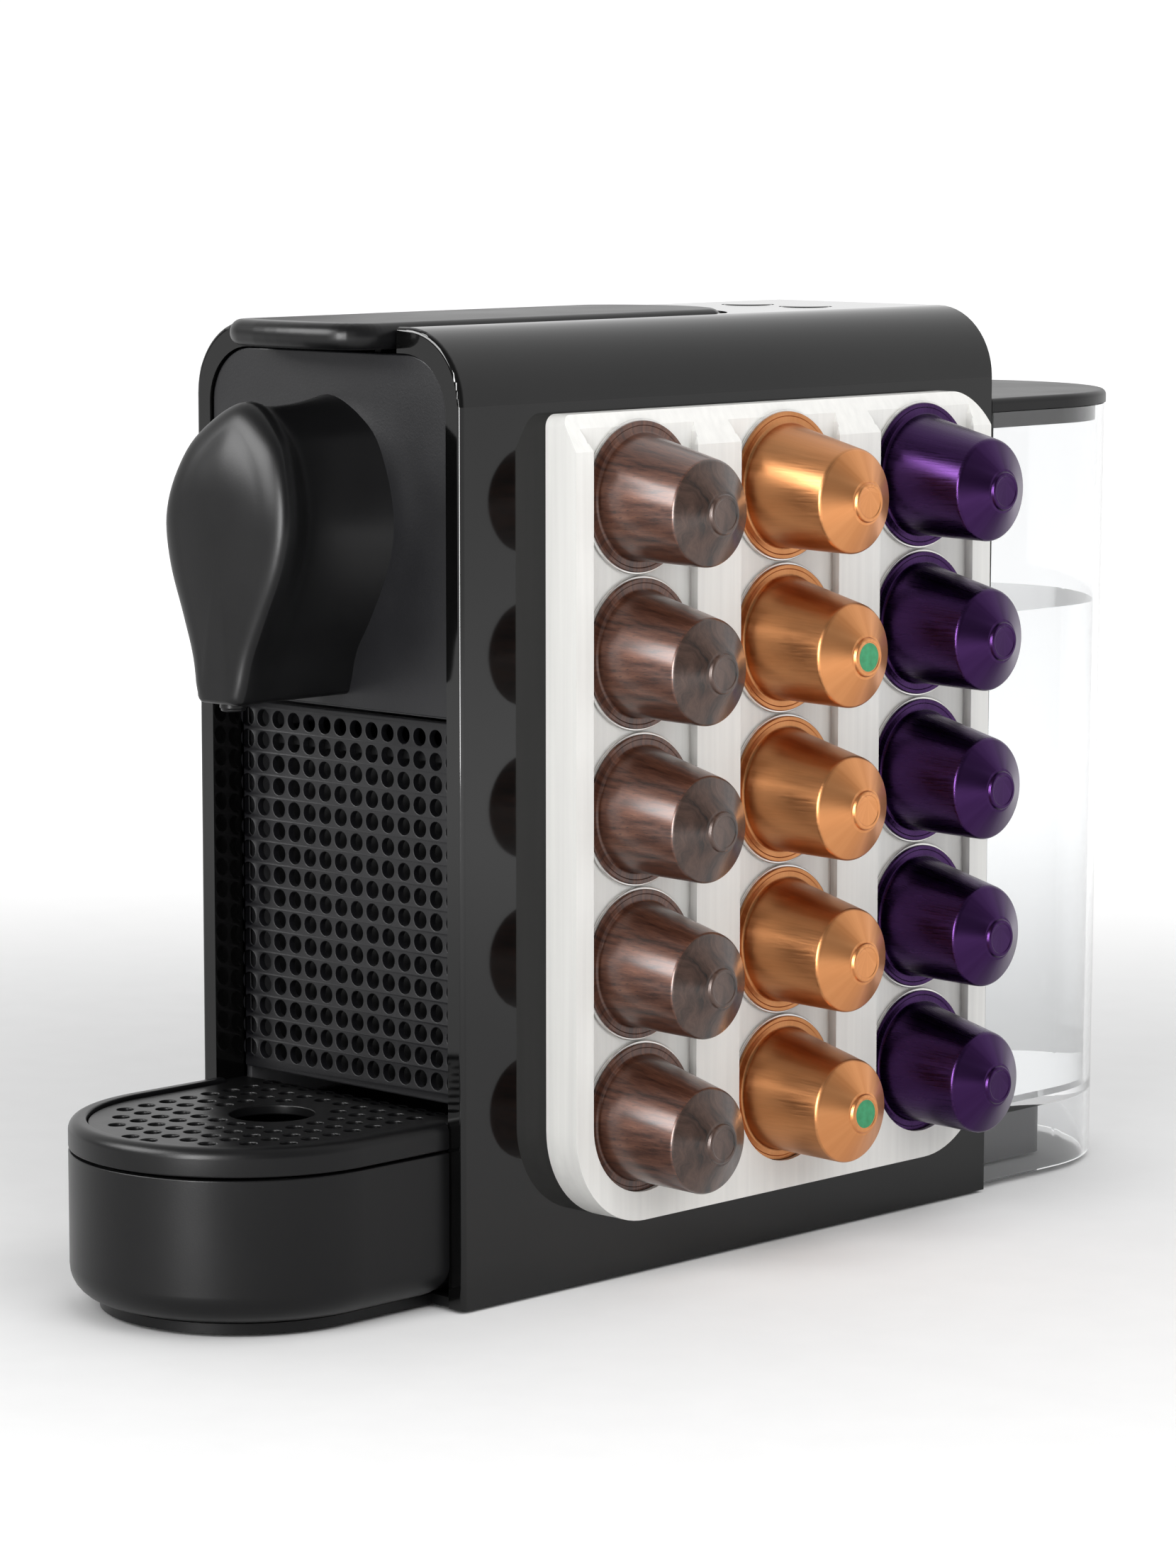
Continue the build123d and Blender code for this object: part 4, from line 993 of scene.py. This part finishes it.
def build_grille_plate():
    """Perforated plate with a drain hole and a tail that runs back into the machine."""
    _, high = span("drip_grille")
    edge = 0.35
    side = TRAY_R - GRILLE_RIM - 0.25 - edge
    back, tail = high.y - edge, GRILLE_TAIL_HALF - edge
    outline = arc((0, TRAY_CENTRE_Y), side, 180, 360, 56)
    outline += [(side, TRAY_BACK_Y), (tail, TRAY_BACK_Y), (tail, back)]
    outline += [(-tail, back), (-tail, TRAY_BACK_Y), (-side, TRAY_BACK_Y)]
    holes = [circle((0, DRAIN_Y), DRAIN_R + edge, 48)]
    for row in range(11):
        y = TRAY_CENTRE_Y - 32.6 + row * GRILLE_PITCH_Y
        for column in range(-6, 6):
            x = (column + 0.5) * GRILLE_PITCH_X
            reach = math.hypot(x, min(y - TRAY_CENTRE_Y, 0))
            from_drain = math.hypot(x, y - DRAIN_Y)
            if reach < side - GRILLE_HOLE_R - 0.9 and from_drain > DRAIN_R + GRILLE_HOLE_R + 1.2:
                holes.append(circle((x, y), GRILLE_HOLE_R + edge, 20))
    shape = plate([outline, *holes], GRILLE_THICK, edge, resolution=2)
    place = Matrix.Translation((0, 0, GRILLE_TOP - GRILLE_THICK / 2))
    mesh = to_mesh(shape, "grille_plate", place)
    finish_piece("grille_plate", mesh, "grille", (MATERIALS["satin_black"],))


build_tray()
build_grille_rim()
build_grille_plate()

# ---------------------------------------------------------------- floor, light, camera

CAMERA_BACK = Vector((0.6889, -0.7129, 0.1311)).normalized()
CAMERA_PLACE = Vector((0.885456, -0.826524, 0.282462))
LENS_MM = 117.0
FLOOR_HALF = 9.0
FAR_GLOW = 0.6  # the floor glows away from the object, so that it blends into the background
GLOW_START = 0.30
GLOW_FULL = 0.95
OBJECT_MIDDLE = (0.02, 0.09, 0.11)

floor_mesh = bpy.data.meshes.new("floor")
corners = [(-FLOOR_HALF, -FLOOR_HALF, 0), (FLOOR_HALF, -FLOOR_HALF, 0)]
corners += [(FLOOR_HALF, FLOOR_HALF, 0), (-FLOOR_HALF, FLOOR_HALF, 0)]
floor_mesh.from_pydata(corners, [], [(0, 1, 2, 3)])
floor = bpy.data.objects.new("floor", floor_mesh)
bpy.context.scene.collection.objects.link(floor)
paper = Finish("paper", (0.85, 0.85, 0.85), 0.8, Specular_IOR_Level=0.0)
fibres = paper.noise(60, detail=3)
paper.color(paper.ramp(fibres, ((0.3, (0.845, 0.845, 0.845)), (0.7, (0.86, 0.86, 0.86)))))
reach = paper.node("VectorMath", {0: paper.place}, operation="LENGTH").outputs["Value"]
fade = {"Value": reach, "From Min": GLOW_START, "From Max": GLOW_FULL}
far = paper.node("MapRange", fade, interpolation_type="SMOOTHSTEP").outputs["Result"]
paper.shader.inputs["Emission Color"].default_value = (1, 1, 1, 1)
paper.links.new(paper.math("MULTIPLY", far, FAR_GLOW), paper.shader.inputs["Emission Strength"])
floor_mesh.materials.append(paper.material)


def soft_box(name, direction, distance, size, radiance, sheen_only=False):
    """Rectangular soft light that faces the object; either a fill or a card that only shines."""
    light = bpy.data.lights.new(name, "AREA")
    light.shape = "RECTANGLE"
    light.size, light.size_y = size
    light.energy = radiance * math.pi * size[0] * size[1]
    lamp = bpy.data.objects.new(name, light)
    bpy.context.scene.collection.objects.link(lamp)
    back = Vector(direction).normalized()
    lamp.location = Vector(OBJECT_MIDDLE) + back * distance
    lamp.rotation_mode = "QUATERNION"
    lamp.rotation_quaternion = back.to_track_quat("Z", "Y")
    lamp.visible_glossy = sheen_only
    lamp.visible_diffuse = not sheen_only
    lamp.visible_transmission = False


soft_box("key_card", (-0.45, -0.74, 0.50), 1.3, (0.80, 0.60), 14.0, sheen_only=True)
soft_box("front_card", (0.21, -0.97, 0.14), 1.05, (0.22, 0.75), 36.0, sheen_only=True)
soft_box("key", (0.25, -0.90, 0.35), 1.4, (0.9, 0.9), 5.0)
soft_box("fill", (0.80, -0.25, 0.55), 1.4, (1.2, 1.0), 3.0)
soft_box("top", (0.1, 0.25, 1.0), 1.3, (1.3, 1.0), 0.2)

BRIGHT_SIDE = (-0.335, 0.942, 0)  # the background is brightest this way and dark behind the camera
BRIGHT_FROM, BRIGHT_TO = -0.5, 0.6
DARKEST, BRIGHTEST = 0.18, 1.04

world = bpy.data.worlds.new("studio")
bpy.context.scene.world = world
world.use_nodes = True
tree = world.node_tree
sky = tree.nodes["Background"]
sky.inputs["Color"].default_value = (1, 1, 1, 1)
facing = tree.nodes.new("ShaderNodeVectorMath")
facing.operation = "DOT_PRODUCT"
facing.inputs[1].default_value = BRIGHT_SIDE
tree.links.new(tree.nodes.new("ShaderNodeTexCoord").outputs["Generated"], facing.inputs[0])
level = tree.nodes.new("ShaderNodeMapRange")
level.interpolation_type = "SMOOTHSTEP"
limits = {"From Min": BRIGHT_FROM, "From Max": BRIGHT_TO, "To Min": DARKEST, "To Max": BRIGHTEST}
for key, value in limits.items():
    level.inputs[key].default_value = value
tree.links.new(facing.outputs["Value"], level.inputs["Value"])
tree.links.new(level.outputs["Result"], sky.inputs["Strength"])

camera_data = bpy.data.cameras.new("camera")
camera_data.lens = LENS_MM
camera_data.sensor_width = 36.0
camera_data.clip_start = 0.01
camera_data.clip_end = 50.0
camera = bpy.data.objects.new("camera", camera_data)
bpy.context.scene.collection.objects.link(camera)
camera.location = CAMERA_PLACE
camera.rotation_mode = "QUATERNION"
camera.rotation_quaternion = CAMERA_BACK.to_track_quat("Z", "Y")
bpy.context.scene.camera = camera
bpy.context.scene.view_settings.view_transform = "Standard"
